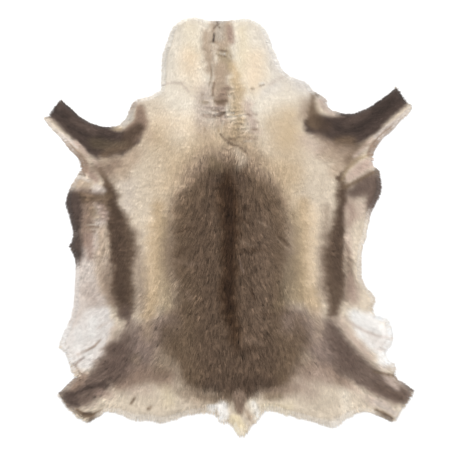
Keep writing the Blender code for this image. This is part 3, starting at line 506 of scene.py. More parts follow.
# The way in which the hair lies at a place, as a compass bearing with the neck to the north.
Lay = namedtuple("Lay", "part across along bearing")
LAYS = [
    Lay("top of the neck", -30, 600, 182),
    Lay("left side of the neck", -160, 520, 207),
    Lay("right side of the neck", 120, 520, 152),
    Lay("withers", 0, 330, 180),
    Lay("left shoulder", -230, 320, 215),
    Lay("right shoulder", 230, 320, 145),
    Lay("left foreleg", -420, 300, 285),
    Lay("left forefoot", -520, 350, 305),
    Lay("right foreleg", 420, 320, 72),
    Lay("right forefoot", 510, 380, 52),
    Lay("front of the saddle", 0, 120, 180),
    Lay("middle of the saddle", 5, -120, 180),
    Lay("left of the saddle", -120, -40, 212),
    Lay("right of the saddle", 120, -40, 140),
    Lay("foot of the saddle's left half", -110, -260, 200),
    Lay("foot of the saddle's right half", 120, -260, 156),
    Lay("left side", -250, 60, 195),
    Lay("right side", 260, 60, 165),
    Lay("left flank", -420, 0, 208),
    Lay("right flank", 400, 0, 152),
    Lay("left groin", -440, -320, 240),
    Lay("right groin", 440, -310, 120),
    Lay("left haunch", -270, -350, 208),
    Lay("right haunch", 280, -350, 152),
    Lay("left hind leg", -450, -500, 236),
    Lay("right hind leg", 480, -500, 124),
    Lay("left side of the rump", -220, -540, 188),
    Lay("right side of the rump", 240, -540, 172),
    Lay("end of the back", 10, -420, 180),
    Lay("tail", 30, -580, 178),
]

# How hair grows: its span over the hide, its width, the gap between its roots, the width of its tufts, and
# how strong its ripples, its streaks and its wrinkles are.
Growth = namedtuple("Growth", "span width gap tuft ripple streak wrinkle")
GROWTHS = {
    "neck": Growth(12, 1.6, 2.6, 8, 0.06, 0.01, 0.02),
    "shoulder": Growth(12, 1.6, 2.6, 9, 0.15, 0.01, 0.04),
    "mane": Growth(12, 1.6, 2.6, 9, 1.5, 0.06, 0.13),
    "saddle": Growth(24, 1.6, 2.6, 8, 0.2, 0.15, 0.1),
    "upper side": Growth(14, 1.6, 2.7, 9, 0.3, 0.02, 0.07),
    "lower side": Growth(16, 1.6, 2.7, 9, 0.2, 0.025, 0.05),
    "dark band": Growth(18, 1.6, 2.7, 9, 0.3, 0.13, 0.14),
    "left belly": Growth(16, 1.5, 2.7, 10, 0.4, 0.07, 0.15),
    "right belly": Growth(16, 1.5, 2.7, 10, 0.2, 0.04, 0.07),
    "groin": Growth(20, 1.8, 2.7, 13, 0.1, 0.02, 0.03),
    "foreleg": Growth(14, 1.4, 2.4, 7, 0.1, 0.08, 0.04),
    "left hind leg": Growth(17, 1.5, 2.5, 8, 0.1, 0.11, 0.05),
    "right hind leg": Growth(17, 1.5, 2.5, 8, 0.1, 0.09, 0.05),
    "rump": Growth(16, 1.6, 2.7, 9, 0.15, 0.03, 0.05),
    "haunch": Growth(20, 1.6, 2.7, 9, 0.15, 0.1, 0.05),
    "tail": Growth(26, 1.6, 2.6, 9, 0.0, 0.05, 0.04),
}

# The spots round which hair grows in such a way, how far each reaches, and the piece that its hairs are in.
Spot = namedtuple("Spot", "piece growth across along reach")
SPOTS = [
    Spot("hair_neck", "neck", -30, 560, 190),
    Spot("hair_withers", "shoulder", -150, 330, 130),
    Spot("hair_withers", "shoulder", 160, 320, 130),
    Spot("hair_withers", "mane", -5, 330, 95),
    Spot("hair_saddle_front", "saddle", 0, 80, 170),
    Spot("hair_saddle_back", "saddle", 10, -170, 170),
    Spot("hair_saddle_foot", "saddle", 20, -380, 130),
    Spot("hair_left_side", "upper side", -260, 120, 110),
    Spot("hair_left_side", "lower side", -240, -80, 130),
    Spot("hair_left_side", "dark band", -325, -70, 70),
    Spot("hair_right_side", "upper side", 270, 120, 110),
    Spot("hair_right_side", "lower side", 240, -80, 130),
    Spot("hair_right_side", "dark band", 325, -70, 70),
    Spot("hair_left_belly", "left belly", -420, -20, 110),
    Spot("hair_left_belly", "groin", -420, -320, 100),
    Spot("hair_right_belly", "right belly", 400, -20, 110),
    Spot("hair_right_belly", "groin", 420, -310, 100),
    Spot("hair_left_foreleg", "foreleg", -420, 280, 110),
    Spot("hair_right_foreleg", "foreleg", 420, 300, 110),
    Spot("hair_left_hind_leg", "left hind leg", -380, -460, 120),
    Spot("hair_right_hind_leg", "right hind leg", 400, -460, 120),
    Spot("hair_left_rump", "rump", -240, -500, 120),
    Spot("hair_right_rump", "rump", 250, -500, 120),
    Spot("hair_left_rump", "haunch", -240, -370, 90),
    Spot("hair_right_rump", "haunch", 260, -370, 90),
    Spot("hair_tail", "tail", 30, -560, 60),
]
LEAST_PULL = 0.02  # keeps a spot from drowning out its neighbours right at its middle

# ---------------------------------------------------------------------------------------------- sizes

CHART_MARGIN = 30.0  # past the solid's box
CHART_STEP = 4.0
COLOUR_STEP = 2.5
NOISE_SQUARES = 128
TUFT_SQUARES = 256

RIPPLE_GAP = 13.5  # from one fold of the pile to the next
STREAK_SHARE = 0.8  # of the fine and of the broad streaks
LIGHT_LIMITS = (0.35, 1.8)  # of the relief's light
RIM_PAINTED_LIGHT = 0.1  # painted light that makes up for the shade on the slope of the rim
RIM_PAINTED_LIGHT_DEPTH = 6  # how far inside the skin's edge it is strongest

FEATHERED = 13  # strokes with a softer edge than this have it feathered
FARTHEST_SHIFT = 15  # of a feathered place
FIRMNESS = 0.35  # the share of the shift that is left near the skin's edge
FIRM_RIM = 35  # how far inside the edge that holds
LOOSE_DEPTH = 95  # how far inside it the shift is whole
LAY_REACH = 60  # of each place in LAYS

SKIN_THICKNESS = 2.0
PILE_LOW = 3  # the height of the pile past the skin's edge
RIM = 24.0  # how far inside the skin's edge the pile starts to fall away
OVERHANG = 6  # how far outside it the pile is at its lowest
WOOL_LOW = 2.5  # the least height of the underwool's top
WOOL_EDGE = 2.4  # the height of its rim
WOOL_SHARE = 0.9  # of the pile's height
WOOL_GAP = 4.5  # between its points
CLEARANCE = 0.3  # between the lowest hairs and the floor

ROOT_GAP = 2.1  # between the places where a hair may grow
UNEVEN = (0.75, 1.2)  # the shortest and the longest hairs, and the thinnest and the widest
WANDER = 0.16  # of a hair from the lay, in radians
OVERHANG_HEIGHT = 4  # that the tips of guard hairs past the skin's edge stay under
STREAKED = 0.15  # the strength of streaks at which each hair has nearly one colour
TUFT_GLOW = 0.4  # how far a tuft's tone shows
FLECKED = 1.8  # the tone past which a tuft is a fleck
FLECK_GLOW = 2.4
PALE_TIP = 0.3
OWN_SHADE = 1.3  # how far single hairs differ

WIDEST = 0.42  # how far along a hair it is widest
FLATNESS = 0.7  # a hair's height, as a share of its width
ROUNDNESS = 0.8  # how far the light shows a hair as round
UPWARD = 0.9  # how far hairs are lit as the pile's top is
SHADING = (-0.2, -0.03, 0.06)  # painted shade and light, of a hair's root, its widest part and its tip

FRINGE_CROWDING = 3.2  # hairs to each millimetre of the skin's edge
FRINGE_INSET = 12  # how far inside the edge they have their roots
FRINGE_COLOUR_INSET = 10  # how far inside the edge they take their colour
FRINGE_REACH = (0.75, 1.35)  # of a lock's length, the shortest and the longest
FRINGE_SWEEP = (3, 9)  # how far the lay draws a tip along the edge
FRINGE_WANDER = 1.1
FRINGE_WIDTHS = (1.1, 1.7)
FRINGE_TIP_HEIGHTS = (0.8, 2.5)
FRINGE_GREYING = 0.3
FRINGE_PAINTED_LIGHT = (1.12, 1.16, 1.3)  # painted light against the shade the fringe lies in low at the rim, most at the tips: of a fringe hair's root, its widest part and its tip

# In metres, as the stage is.
FLOOR_HALF = 8.0
FLOOR_HEIGHT = -0.0005
CAMERA_PLACE = (0.00114, -0.00707, 6.0)
CAMERA_LENS = 158.5
DAYLIGHT = 0.72
Lamp = namedtuple("Lamp", "name place size power")
LAMPS = [Lamp("key", (-1.6, 2.2, 3.2), 1.6, 108.0), Lamp("fill", (2.4, -0.8, 3.0), 2.4, 43.0)]

# ------------------------------------------------------------------------------------------- the charts


def linear(colour):
    """A colour as it looks, from 0 to 255, as light."""
    share = np.asarray(colour, float) / 255
    return np.where(share <= 0.04045, share / 12.92, ((share + 0.055) / 1.055) ** 2.4)


def eased(share):
    """A share that leaves 0 and reaches 1 softly."""
    share = np.clip(share, 0, 1)
    return share * share * (3 - 2 * share)


def unit(ways):
    """These directions at a length of 1."""
    return ways / np.maximum(np.linalg.norm(ways, axis=-1, keepdims=True), 1e-6)


def turned(ways, angle):
    """These flat directions, each turned by its angle."""
    across, along = ways[..., 0], ways[..., 1]
    pair = [across * np.cos(angle) - along * np.sin(angle), across * np.sin(angle) + along * np.cos(angle)]
    return np.stack(pair, axis=-1)


def blended(table, near, far, share):
    """What a table says this share of the way, across and along, from its near squares to its far ones."""
    across, along = share[..., 0], share[..., 1]
    if table.ndim > 2:
        across, along = across[..., None], along[..., None]
    low = table[near[..., 0], near[..., 1]] * (1 - across) + table[far[..., 0], near[..., 1]] * across
    high = table[near[..., 0], far[..., 1]] * (1 - across) + table[far[..., 0], far[..., 1]] * across
    return low * (1 - along) + high * along


def smooth_noise(places, size, layer):
    """Soft lumps from -1 to 1, so many millimetres across, of which each layer has its own."""
    table = np.random.default_rng(layer).uniform(-1, 1, (NOISE_SQUARES, NOISE_SQUARES))
    at = places / size
    whole = np.floor(at).astype(int)
    return blended(table, whole % NOISE_SQUARES, (whole + 1) % NOISE_SQUARES, eased(at - whole))


Chart = namedtuple("Chart", "low step values")


def chart_places(step):
    """The lowest place of a chart of the hide, and the places of its squares."""
    low = np.array(CAD_BOX[0][:2]) / MM - CHART_MARGIN
    high = np.array(CAD_BOX[1][:2]) / MM + CHART_MARGIN
    lines = [np.arange(start, end, step) for start, end in zip(low, high)]
    return low, np.stack(np.meshgrid(*lines, indexing="ij"), axis=-1)


def read(chart, places):
    """What a chart says at these places."""
    last = np.array(chart.values.shape[:2]) - 1.001
    at = np.clip((places - chart.low) / chart.step, 0, last)
    whole = at.astype(int)
    return blended(chart.values, whole, whole + 1, at - whole)


@cache
def solid():
    """The hide's solid as one closed mesh, in millimetres."""
    bm = bmesh.new()
    bm.from_mesh(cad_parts[SOLID].data)
    bmesh.ops.scale(bm, vec=(1 / MM,) * 3, verts=bm.verts[:])
    bmesh.ops.remove_doubles(bm, verts=bm.verts[:], dist=0.001)
    return bm


@cache
def rim():
    """The points where the solid's underside ends, in order, four to each lock: corner, waist, tip, waist."""
    bm = solid()
    bm.normal_update()
    for face in bm.faces:
        face.tag = face.normal.z < -0.999 and face.calc_center_median().z < 0.01
    after = {}
    for face in bm.faces:
        for loop in face.loops:
            if face.tag and not loop.link_loop_radial_next.face.tag:
                after[loop.vert] = loop.link_loop_next.vert
    first = vert = next(iter(after))
    places = []
    while not places or vert is not first:
        places.append(vert.co.xy[:])
        vert = after[vert]
    places = np.array(places)
    kinds = [places[start::4] for start in range(4)]
    corner = min(range(4), key=lambda start: enclosed(kinds[start]))
    return np.roll(places, -corner, axis=0)


def enclosed(outline):
    """The area inside an outline."""
    x, y = outline.T
    return abs(np.sum(x * np.roll(y, -1) - y * np.roll(x, -1))) / 2


def skin_edge():
    """The outline of the skin, where the locks have their roots."""
    return rim()[0::4]


def lock_tips():
    """The tips of the locks, one between each point of the skin's edge and the next."""
    return rim()[2::4]


@cache
def depth_chart():
    """How far inside the skin's edge each place is, and less than nothing outside it."""
    low, places = chart_places(CHART_STEP)
    flat = places.reshape(-1, 2)
    away = np.full(len(flat), np.inf)
    inside = np.zeros(len(flat), bool)
    edge = skin_edge()
    for start, end in zip(edge, np.roll(edge, -1, axis=0)):
        run = end - start
        share = np.clip((flat - start) @ run / (run @ run), 0, 1)
        away = np.minimum(away, np.hypot(*(flat - start - share[:, None] * run).T))
        if start[1] != end[1]:
            passed = (start[1] > flat[:, 1]) != (end[1] > flat[:, 1])
            meets = start[0] + (flat[:, 1] - start[1]) * run[0] / run[1]
            inside ^= passed & (flat[:, 0] < meets)
    return Chart(low, CHART_STEP, np.where(inside, away, -away).reshape(places.shape[:2]))


def depth_at(places):
    """How far inside the skin's edge these places are."""
    return read(depth_chart(), places)


@cache
def pile_chart():
    """The height of the top of the pile."""
    tree = BVHTree.FromBMesh(solid())
    low, places = chart_places(CHART_STEP)
    heights = np.zeros(places.shape[:2])
    above = CAD_BOX[1][2] / MM + CHART_MARGIN
    for index in np.ndindex(*heights.shape):
        met = tree.ray_cast(Vector((*places[index], above)), Vector((0, 0, -1)))[0]
        if met:
            heights[index] = met.z
    for axis in (0, 1, 0, 1):
        heights = (np.roll(heights, 1, axis) + 2 * heights + np.roll(heights, -1, axis)) / 4
    return Chart(low, CHART_STEP, heights)


@cache
def lay_chart():
    """The direction in which the hair lies, which swings a little from place to place."""
    low, places = chart_places(CHART_STEP)
    lay = np.zeros_like(places)
    for spot in LAYS:
        away = np.hypot(places[..., 0] - spot.across, places[..., 1] - spot.along)
        bearing = np.radians(spot.bearing)
        lay += np.array([np.sin(bearing), np.cos(bearing)]) / (1 + (away[..., None] / LAY_REACH) ** 3)
    swing = 0.22 * smooth_noise(places, size=75, layer=11) + 0.2 * smooth_noise(places, size=28, layer=12)
    return Chart(low, CHART_STEP, unit(turned(lay, swing)))


def lay_at(places):
    """The direction in which the hair lies at these places."""
    return unit(read(lay_chart(), places))


def stroke_share(places, stroke):
    """How much of a stroke's colour each place takes."""
    share = np.zeros(len(places))
    path = np.array(stroke.path, float)
    for start, end in zip(path[: max(1, len(path) - 1)], path[1:] if len(path) > 1 else path):
        run = end[:2] - start[:2]
        length = max(run @ run, 1e-9)
        along = np.clip((places - start[:2]) @ run / length, 0, 1)
        away = np.hypot(*(places - start[:2] - along[:, None] * run).T)
        half = start[2] + (end[2] - start[2]) * along
        share = np.maximum(share, 1 - eased((away - half + stroke.soft / 2) / stroke.soft))
    return share * stroke.strength


def feathered(places):
    """These places, shifted as the soft edges of the strokes are, the most far inside the hide."""
    drawn_out = places * (0.35, 1)
    across = 6 * smooth_noise(drawn_out, size=24, layer=21) + 6 * smooth_noise(drawn_out, size=4.5, layer=22)
    along = 5 * smooth_noise(places, size=38, layer=23) + 2 * smooth_noise(places, size=13, layer=24)
    inward = eased((depth_at(places) - FIRM_RIM) / (LOOSE_DEPTH - FIRM_RIM))
    loose = FIRMNESS + (1 - FIRMNESS) * inward
    return places + np.stack([across, along], axis=-1) * loose[..., None]


@cache
def colour_chart():
    """The coat's colour, with the painted shade and highlights of its creases, folds and ridges."""
    low, places = chart_places(COLOUR_STEP)
    flat = places.reshape(-1, 2)
    ragged = feathered(flat)
    colours = np.zeros((len(flat), 3))
    for stroke in map(Stroke._make, STROKES):
        path = np.array(stroke.path, float)
        spread = path[:, 2].max() + stroke.soft + FARTHEST_SHIFT
        near = np.all((flat > path[:, :2].min(0) - spread) & (flat < path[:, :2].max(0) + spread), axis=1)
        share = stroke_share((flat if stroke.soft < FEATHERED else ragged)[near], stroke)[:, None]
        colours[near] += (np.array(COLOURS[stroke.colour]) - colours[near]) * share
    return Chart(low, COLOUR_STEP, colours.reshape(*places.shape[:2], 3))


def coat_light(places):
    """The coat's colour at these places, with its painted shade and highlights, as light."""
    return linear(read(colour_chart(), places))


@cache
def streak_chart(step, length, layer):
    """Streaks so long and one step wide along the lay, about 0 with a spread of 1."""
    low, places = chart_places(step)
    grain = Chart(low, step, np.random.default_rng(layer).normal(size=places.shape[:2]))
    total = np.zeros(places.shape[:2])
    for way in (-step, step):
        walk = places.copy()
        for _ in range(int(length / step / 2)):
            total += read(grain, walk)
            walk = walk + way * lay_at(walk)
    return Chart(low, step, (total - total.mean()) / total.std())


def wrinkles(places):
    """Fine dashes across the hide, about 0, in patches where the tips of the hair crowd or part."""
    bent = places + 4 * smooth_noise(places, size=30, layer=36)[..., None] * (0, 1)
    dash = smooth_noise(bent * (0.22, 1), size=3.4, layer=33)
    patch = eased(smooth_noise(places, size=40, layer=34) * 1.3 + 0.5)
    return 2.5 * dash * np.abs(dash) * patch


def ripples(places):
    """How deep in a trough each place is, from 0 to 1, where folds in the pile cross the lay of the hair."""
    warp = 9 * smooth_noise(places, size=55, layer=51) + 5 * smooth_noise(places, size=22, layer=52)
    swing = np.sin((places[:, 1] + warp) * 2 * pi / RIPPLE_GAP)
    patch = eased(smooth_noise(places * (1, 1.6), size=42, layer=53) * 1.2 + 0.35)
    return eased((swing - 0.2) / 0.8) * patch


def relief(places, growth):
    """How the folds, streaks and wrinkles of the pile change its colour and its height, as shares: painted
    shade in the troughs of the folds, painted light and shade along the wrinkles, painted light on the rim's
    slope, and the streaks' own paler and darker hair.
    """
    ripple = growth.ripple * ripples(places)
    wrinkle = growth.wrinkle * wrinkles(places)
    fine = read(streak_chart(step=2.0, length=20.0, layer=31), places)
    broad = read(streak_chart(step=5.0, length=36.0, layer=32), places)
    streak = growth.streak * STREAK_SHARE * (fine + broad)
    rim_painted_light = RIM_PAINTED_LIGHT * np.exp(-(((depth_at(places) - RIM_PAINTED_LIGHT_DEPTH) / RIM_PAINTED_LIGHT_DEPTH) ** 2))
    # Painted light and shade: darker in the troughs of the folds, lighter and darker along the wrinkles,
    # lighter on the rim's slope.
    light = (1 + streak) * (1 + wrinkle) * (1 - 0.35 * ripple) * (1 + rim_painted_light)
    lift = 1 + 0.25 * wrinkle + 0.15 * streak - 0.16 * ripple
    return light.clip(*LIGHT_LIMITS), lift


def growth_at(places):
    """How the hair grows at these places, and the name of the piece that each belongs to."""
    away = [np.hypot(places[:, 0] - spot.across, places[:, 1] - spot.along) / spot.reach for spot in SPOTS]
    weights = 1 / (LEAST_PULL + np.stack(away) ** 4)
    sizes = np.array([GROWTHS[spot.growth] for spot in SPOTS], float)
    growth = Growth(*((weights / weights.sum(0)).T @ sizes).T)
    return growth, np.array([spot.piece for spot in SPOTS])[weights.argmax(0)]


def pile_height(places):
    """The height of the hair's tips, which falls away gently towards the skin's edge."""
    share = eased((depth_at(places) + OVERHANG) / (RIM + OVERHANG))
    return PILE_LOW + (read(pile_chart(), places) - PILE_LOW).clip(0) * share


def underwool_height(places):
    """The height of the top of the underwool, but for the relief of the pile."""
    return WOOL_LOW + (pile_height(places) * WOOL_SHARE - WOOL_LOW).clip(0) * eased(depth_at(places) / 10)


# ------------------------------------------------------------------------------------------- the hairs

# A hair's colours are those of its root, its widest part and its tip, and its contrast is how far it
# stands out from its neighbours.
Hairs = namedtuple("Hairs", "root bend tip width colours contrast")


def picked(columns, chosen):
    """The chosen ones of some hairs, or of how they grow."""
    return columns._make(column[chosen] for column in columns)


@cache
def hair_template():
    """A slim closed three-sided hair: its points as across, up and share of its length, and its faces."""
    bm = bmesh.new()
    bmesh.ops.create_cone(bm, cap_ends=True, segments=3, radius1=0.5, radius2=0.0, depth=1.0)
    cap = [face for face in bm.faces if face.normal.z < -0.99]
    root = bmesh.ops.poke(bm, faces=cap)["verts"][0]
    for vert in bm.verts:
        vert.co = (-vert.co.x, -vert.co.y, 1.0 if vert.co.z > 0 else WIDEST)
    root.co.z = 0.0
    bm.verts.index_update()
    points = np.array([vert.co for vert in bm.verts])
    faces = np.array([[vert.index for vert in face.verts] for face in bm.faces])
    bm.free()
    return points, faces


def map_places(roots, points):
    """Where the points of each hair lie on the piece's map, which gives every hair a square of its own."""
    count = len(roots)
    columns = int(np.ceil(np.sqrt(count)))
    order = np.lexsort((roots[:, 1], np.argsort(np.argsort(roots[:, 0])) // columns))
    square = np.empty((count, 2))
    square[order] = np.stack([np.arange(count) // columns, np.arange(count) % columns], axis=-1)
    within = np.stack([0.5 + 0.6 * points[:, 0], 0.12 + 0.76 * points[:, 2]], axis=-1)
    return (square[:, None] + within[None]) / columns


def hair_mesh(name, hairs, material):
    """Builds one piece from hairs, whose places are in millimetres."""
    points, faces = hair_template()
    across, up_share, share = points.T[:, None, :, None]
    count = len(hairs.root)
    line = (
        hairs.root[:, None] * (1 - share) ** 2
        + hairs.bend[:, None] * 2 * share * (1 - share)
        + hairs.tip[:, None] * share ** 2
    )
    run = hairs.tip - hairs.root
    side = unit(np.stack([-run[:, 1], run[:, 0], np.zeros(count)], axis=-1))
    up = unit(np.cross(run, side))
    width = hairs.width[:, None, None]
    line += side[:, None] * across * width
    line += up[:, None] * up_share * width * FLATNESS
    line[..., 2] = line[..., 2].clip(CLEARANCE)
    corners = (faces[None] + np.arange(count)[:, None, None] * len(points)).reshape(-1, 3)

    mesh = bpy.data.meshes.new(name)
    mesh.vertices.add(count * len(points))
    mesh.vertices.foreach_set("co", (line * MM).astype(np.float32).ravel())
    mesh.loops.add(corners.size)
    mesh.loops.foreach_set("vertex_index", corners.astype(np.int32).ravel())
    mesh.polygons.add(len(corners))
    mesh.polygons.foreach_set("loop_start", np.arange(0, corners.size, 3, dtype=np.int32))
    mesh.update(calc_edges=True)
    mesh.shade_smooth()
    contrast = hairs.contrast[:, None, None]
    facing = up[:, None] + side[:, None] * across * ROUNDNESS * contrast + (0, 0, UPWARD)
    mesh.normals_split_custom_set_from_vertices(unit(facing).reshape(-1, 3))

    # Painted shade darkens each hair towards its root, down in the pile, and painted light brightens its tip
    # a little.
    part = np.searchsorted([0.0, WIDEST, 1.0], points[:, 2] - 0.01)
    shades = hairs.colours[:, part] * (1 + np.array(SHADING)[part][None, :, None] * contrast)
    paint(mesh, shades.reshape(-1, 3))
    places = map_places(hairs.root, points).reshape(-1, 2)
    layer = mesh.uv_layers.new(name="OFBake")
    layer.data.foreach_set("uv", places[corners.ravel()].astype(np.float32).ravel())
    return finished(name, mesh, material)


def paint(mesh, light):
    """Stores the colour of each point of a mesh, as light."""
    shades = np.concatenate([np.clip(light, 0, 1), np.ones((len(light), 1))], axis=1)
    colours = mesh.color_attributes.new("coat", "FLOAT_COLOR", "POINT")
    colours.data.foreach_set("color", shades.astype(np.float32).ravel())


def finished(name, mesh, material):
    """Puts a piece's mesh in the scene, on the hide's body."""
    piece = bpy.data.objects.new(name, mesh)
    bpy.context.scene.collection.objects.link(piece)
    mesh.materials.append(material)
    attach(piece, "root")
    return piece


def scattered(gap, rng):
    """Places all over the hide, so far apart, each shifted a little."""
    flat = chart_places(gap)[1].reshape(-1, 2)
    return flat + rng.uniform(-0.5, 0.5, flat.shape) * gap


def tufts(places, size, layer):
    """For each hair the middle of the tuft it belongs to, and a number about 0 that its tuft shares."""
    rng = np.random.default_rng(layer)
    offsets = rng.uniform(0.1, 0.9, (TUFT_SQUARES, TUFT_SQUARES, 2))
    tones = rng.normal(0, 1, (TUFT_SQUARES, TUFT_SQUARES))
    at = places / size[:, None]
    whole = np.floor(at).astype(int)
    best = np.full(len(places), np.inf)
    middle = np.zeros_like(places)
    tone = np.zeros(len(places))
    for step in np.ndindex(3, 3):
        near = whole + np.array(step) - 1
        row, column = near.T % TUFT_SQUARES
        spot = near + offsets[row, column]
        away = np.hypot(*(spot - at).T)
        closer = away < best
        best[closer] = away[closer]
        middle[closer] = (spot * size[:, None])[closer]
        tone[closer] = tones[row, column][closer]
    return middle, tone


def tufted_tips(roots, growth, settings, rng):
    """The tips of the hairs, drawn into tufts within wider tufts, and the numbers that the tufts share."""
    span = growth.span * settings.length
    own_span = growth.span * rng.uniform(*UNEVEN, len(roots)) * settings.length
    tips = roots + turned(lay_at(roots), rng.normal(0, WANDER, len(roots))) * own_span[:, None]
    pull = (settings.tufting * eased(growth.streak / 0.14 + 0.2))[:, None]
    size = np.round(growth.tuft / 2) * 2
    tones = []
    for times, strength, layer in ((1, 1, 42), (2.2, 0.3, 43)):
        middle, tone = tufts(roots, size * times, layer)
        tips += (middle + lay_at(middle) * span[:, None] - tips) * pull * strength
        tones.append(tone)
    return tips, tones


def tip_heights(tips, growth, tones, lift, rng):
    """The heights of the tips, which are less even where the hair is streaked."""
    uneven = 0.01 + 0.13 * growth.streak
    swing = rng.normal(size=len(tips)) + tones[0] + 0.6 * tones[1]
    heights = pile_height(tips) * (0.98 + uneven * swing) * lift
    return np.where(depth_at(tips) > 0, heights, np.minimum(heights, OVERHANG_HEIGHT)).clip(1.0)


def grown_hairs(settings):
    """All the guard hairs, and the name of the piece that each belongs to."""
    rng = np.random.default_rng(41)
    roots = scattered(ROOT_GAP, rng)
    roots = roots[depth_at(roots) > 1.0]
    growth, names = growth_at(roots)
    kept = rng.uniform(size=len(roots)) < (ROOT_GAP / growth.gap) ** 2 * settings.crowding
    roots, growth, names = roots[kept], picked(growth, kept), names[kept]
    count = len(roots)
    tips, tones = tufted_tips(roots, growth, settings, rng)
    run = tips - roots

    # The colours are read under the root, the middle and the tip, and nearer together where it's streaked.
    near = (growth.streak / STREAKED).clip(0, 1)[:, None] * 0.7
    seen = [roots + run * (share + (0.8 - share) * near) for share in (0.0, 0.38, 1.0)]
    heights = tip_heights(tips, growth, tones, relief(seen[2], growth)[1], rng)
    middle = roots + run * WIDEST
    bends = np.maximum(heights, pile_height(middle) * 0.98) + 0.6
    bends = np.minimum(bends, read(pile_chart(), middle) * 1.12 + 1)

    flecks = np.where(np.abs(tones[0]) > FLECKED, FLECK_GLOW * np.sign(tones[0]), 0)
    glow = growth.streak * (TUFT_GLOW * tones[0] + flecks)
    # Each hair's colour takes the painted light and shade of the pile's relief, and its tuft's own tone.
    light = [coat_light(places) * (relief(places, growth)[0] + glow)[:, None] for places in seen]
    colours = np.stack(light, axis=1)
    colours[:, 2] *= 1 + PALE_TIP * (rng.uniform(size=count) < growth.streak)[:, None]
    width = growth.width * rng.uniform(*UNEVEN, count) * settings.thickness
    colours *= (1 + OWN_SHADE * growth.streak * rng.normal(size=count)).clip(0.4)[:, None, None]
    hairs = Hairs(
        np.column_stack([roots, underwool_height(roots) * 0.8]),
        np.column_stack([middle, bends]),
        np.column_stack([tips, heights]),
        width,
        colours * settings.brightness,
        (0.3 + 4.6 * growth.streak).clip(0, 1),
    )
    return hairs, names


def fringe_hairs(settings):
    """The hairs that hang over the skin's edge, drawn towards the tips of its locks."""
    rng = np.random.default_rng(71)
    edge = skin_edge()
    after = np.roll(edge, -1, axis=0)
    lengths = np.hypot(*(after - edge).T)
    count = int(FRINGE_CROWDING * lengths.sum() * settings.crowding)
    lock = rng.choice(len(edge), count, p=lengths / lengths.sum())
    share = rng.uniform(0, 1, count)
    run = after[lock] - edge[lock]
    start = edge[lock] + run * share[:, None]
    outward = np.stack([run[:, 1], -run[:, 0]], axis=-1) / np.hypot(*run.T)[:, None]
    outward[depth_at(start + outward * 6) > 0] *= -1
    root = start - outward * rng.uniform(0, FRINGE_INSET, count)[:, None]

    aim = lock_tips()[lock] + run * ((share - 0.5) * 0.9)[:, None]
    shortest, longest = FRINGE_REACH
    reach = shortest + (longest - shortest) * rng.uniform(0, 1, count) ** 1.4
    tip = start + (aim - start) * reach[:, None]
    tip += rng.normal(0, FRINGE_WANDER, tip.shape)
    lay = lay_at(start)
    sideways = lay - outward * np.sum(lay * outward, axis=1)[:, None]
    tip += sideways * rng.uniform(*FRINGE_SWEEP, count)[:, None]
    middle = root + (tip - root) * 0.5 + lay * 1.5
    root_height = underwool_height(root) * 0.7
    tip_height = rng.uniform(*FRINGE_TIP_HEIGHTS, count)
    middle_height = (root_height + tip_height) / 2 + rng.uniform(1.5, 2.5, count)

    colour = coat_light(start - outward * FRINGE_COLOUR_INSET)
    colour = colour * (1 + 0.08 * rng.normal(size=count))[:, None] * settings.brightness
    colour += (colour.mean(axis=1, keepdims=True) - colour) * FRINGE_GREYING
    # The fringe's colours are brightened with painted light, most at the tips, against the shade it lies in
    # low at the rim.
    return Hairs(
        np.column_stack([root, root_height]),
        np.column_stack([middle, middle_height]),
        np.column_stack([tip, tip_height]),
        rng.uniform(*FRINGE_WIDTHS, count) * settings.thickness,
        np.stack([(colour * times).clip(0, 0.92) for times in FRINGE_PAINTED_LIGHT], axis=1),
        np.full(count, 0.1),
    )


# ------------------------------------------------------------------------------- the underwool and the skin


def underwool_mesh(brightness):
    """A closed sheet of wool over the skin, with the relief of the pile, its painted light and shade, and the
    coat's colour.
    """
    inner = scattered(WOOL_GAP, np.random.default_rng(61))
    inner = inner[depth_at(inner) > WOOL_GAP * 0.7]
    edge = skin_edge()
    places = [Vector(place) for place in np.concatenate([edge, inner])]
    rim_edges = [(index, (index + 1) % len(edge)) for index in range(len(edge))]
    flat, _, faces = geometry.delaunay_2d_cdt(places, rim_edges, [], 2, 1e-4)[:3]
    flat = np.array(flat)
    light, lift = relief(flat, growth_at(flat)[0])
    heights = (underwool_height(flat) * lift).clip(WOOL_LOW)
    bm = bmesh.new()
    verts = [bm.verts.new((*place, height)) for place, height in zip(flat * MM, heights * MM)]
    for face in faces:
        bm.faces.new([verts[index] for index in face])
    bm.normal_update()
    open_edges = [each for each in bm.edges if each.is_boundary]
    for each in open_edges:
        for vert in each.verts:
            vert.co.z = WOOL_EDGE * MM
    bmesh.ops.edgeloop_fill(bm, edges=open_edges)
    bmesh.ops.recalc_face_normals(bm, faces=bm.faces[:])
    bmesh.ops.triangulate(bm, faces=[face for face in bm.faces if len(face.verts) > 3])
    mesh = bpy.data.meshes.new("underwool")
    bm.to_mesh(mesh)
    bm.free()
    mesh.shade_smooth()
    facing = np.array([vert.normal for vert in mesh.vertices]) + (0, 0, 1)
    mesh.normals_split_custom_set_from_vertices(unit(facing))
    paint(mesh, coat_light(flat) * light[:, None] * brightness)
    return mesh


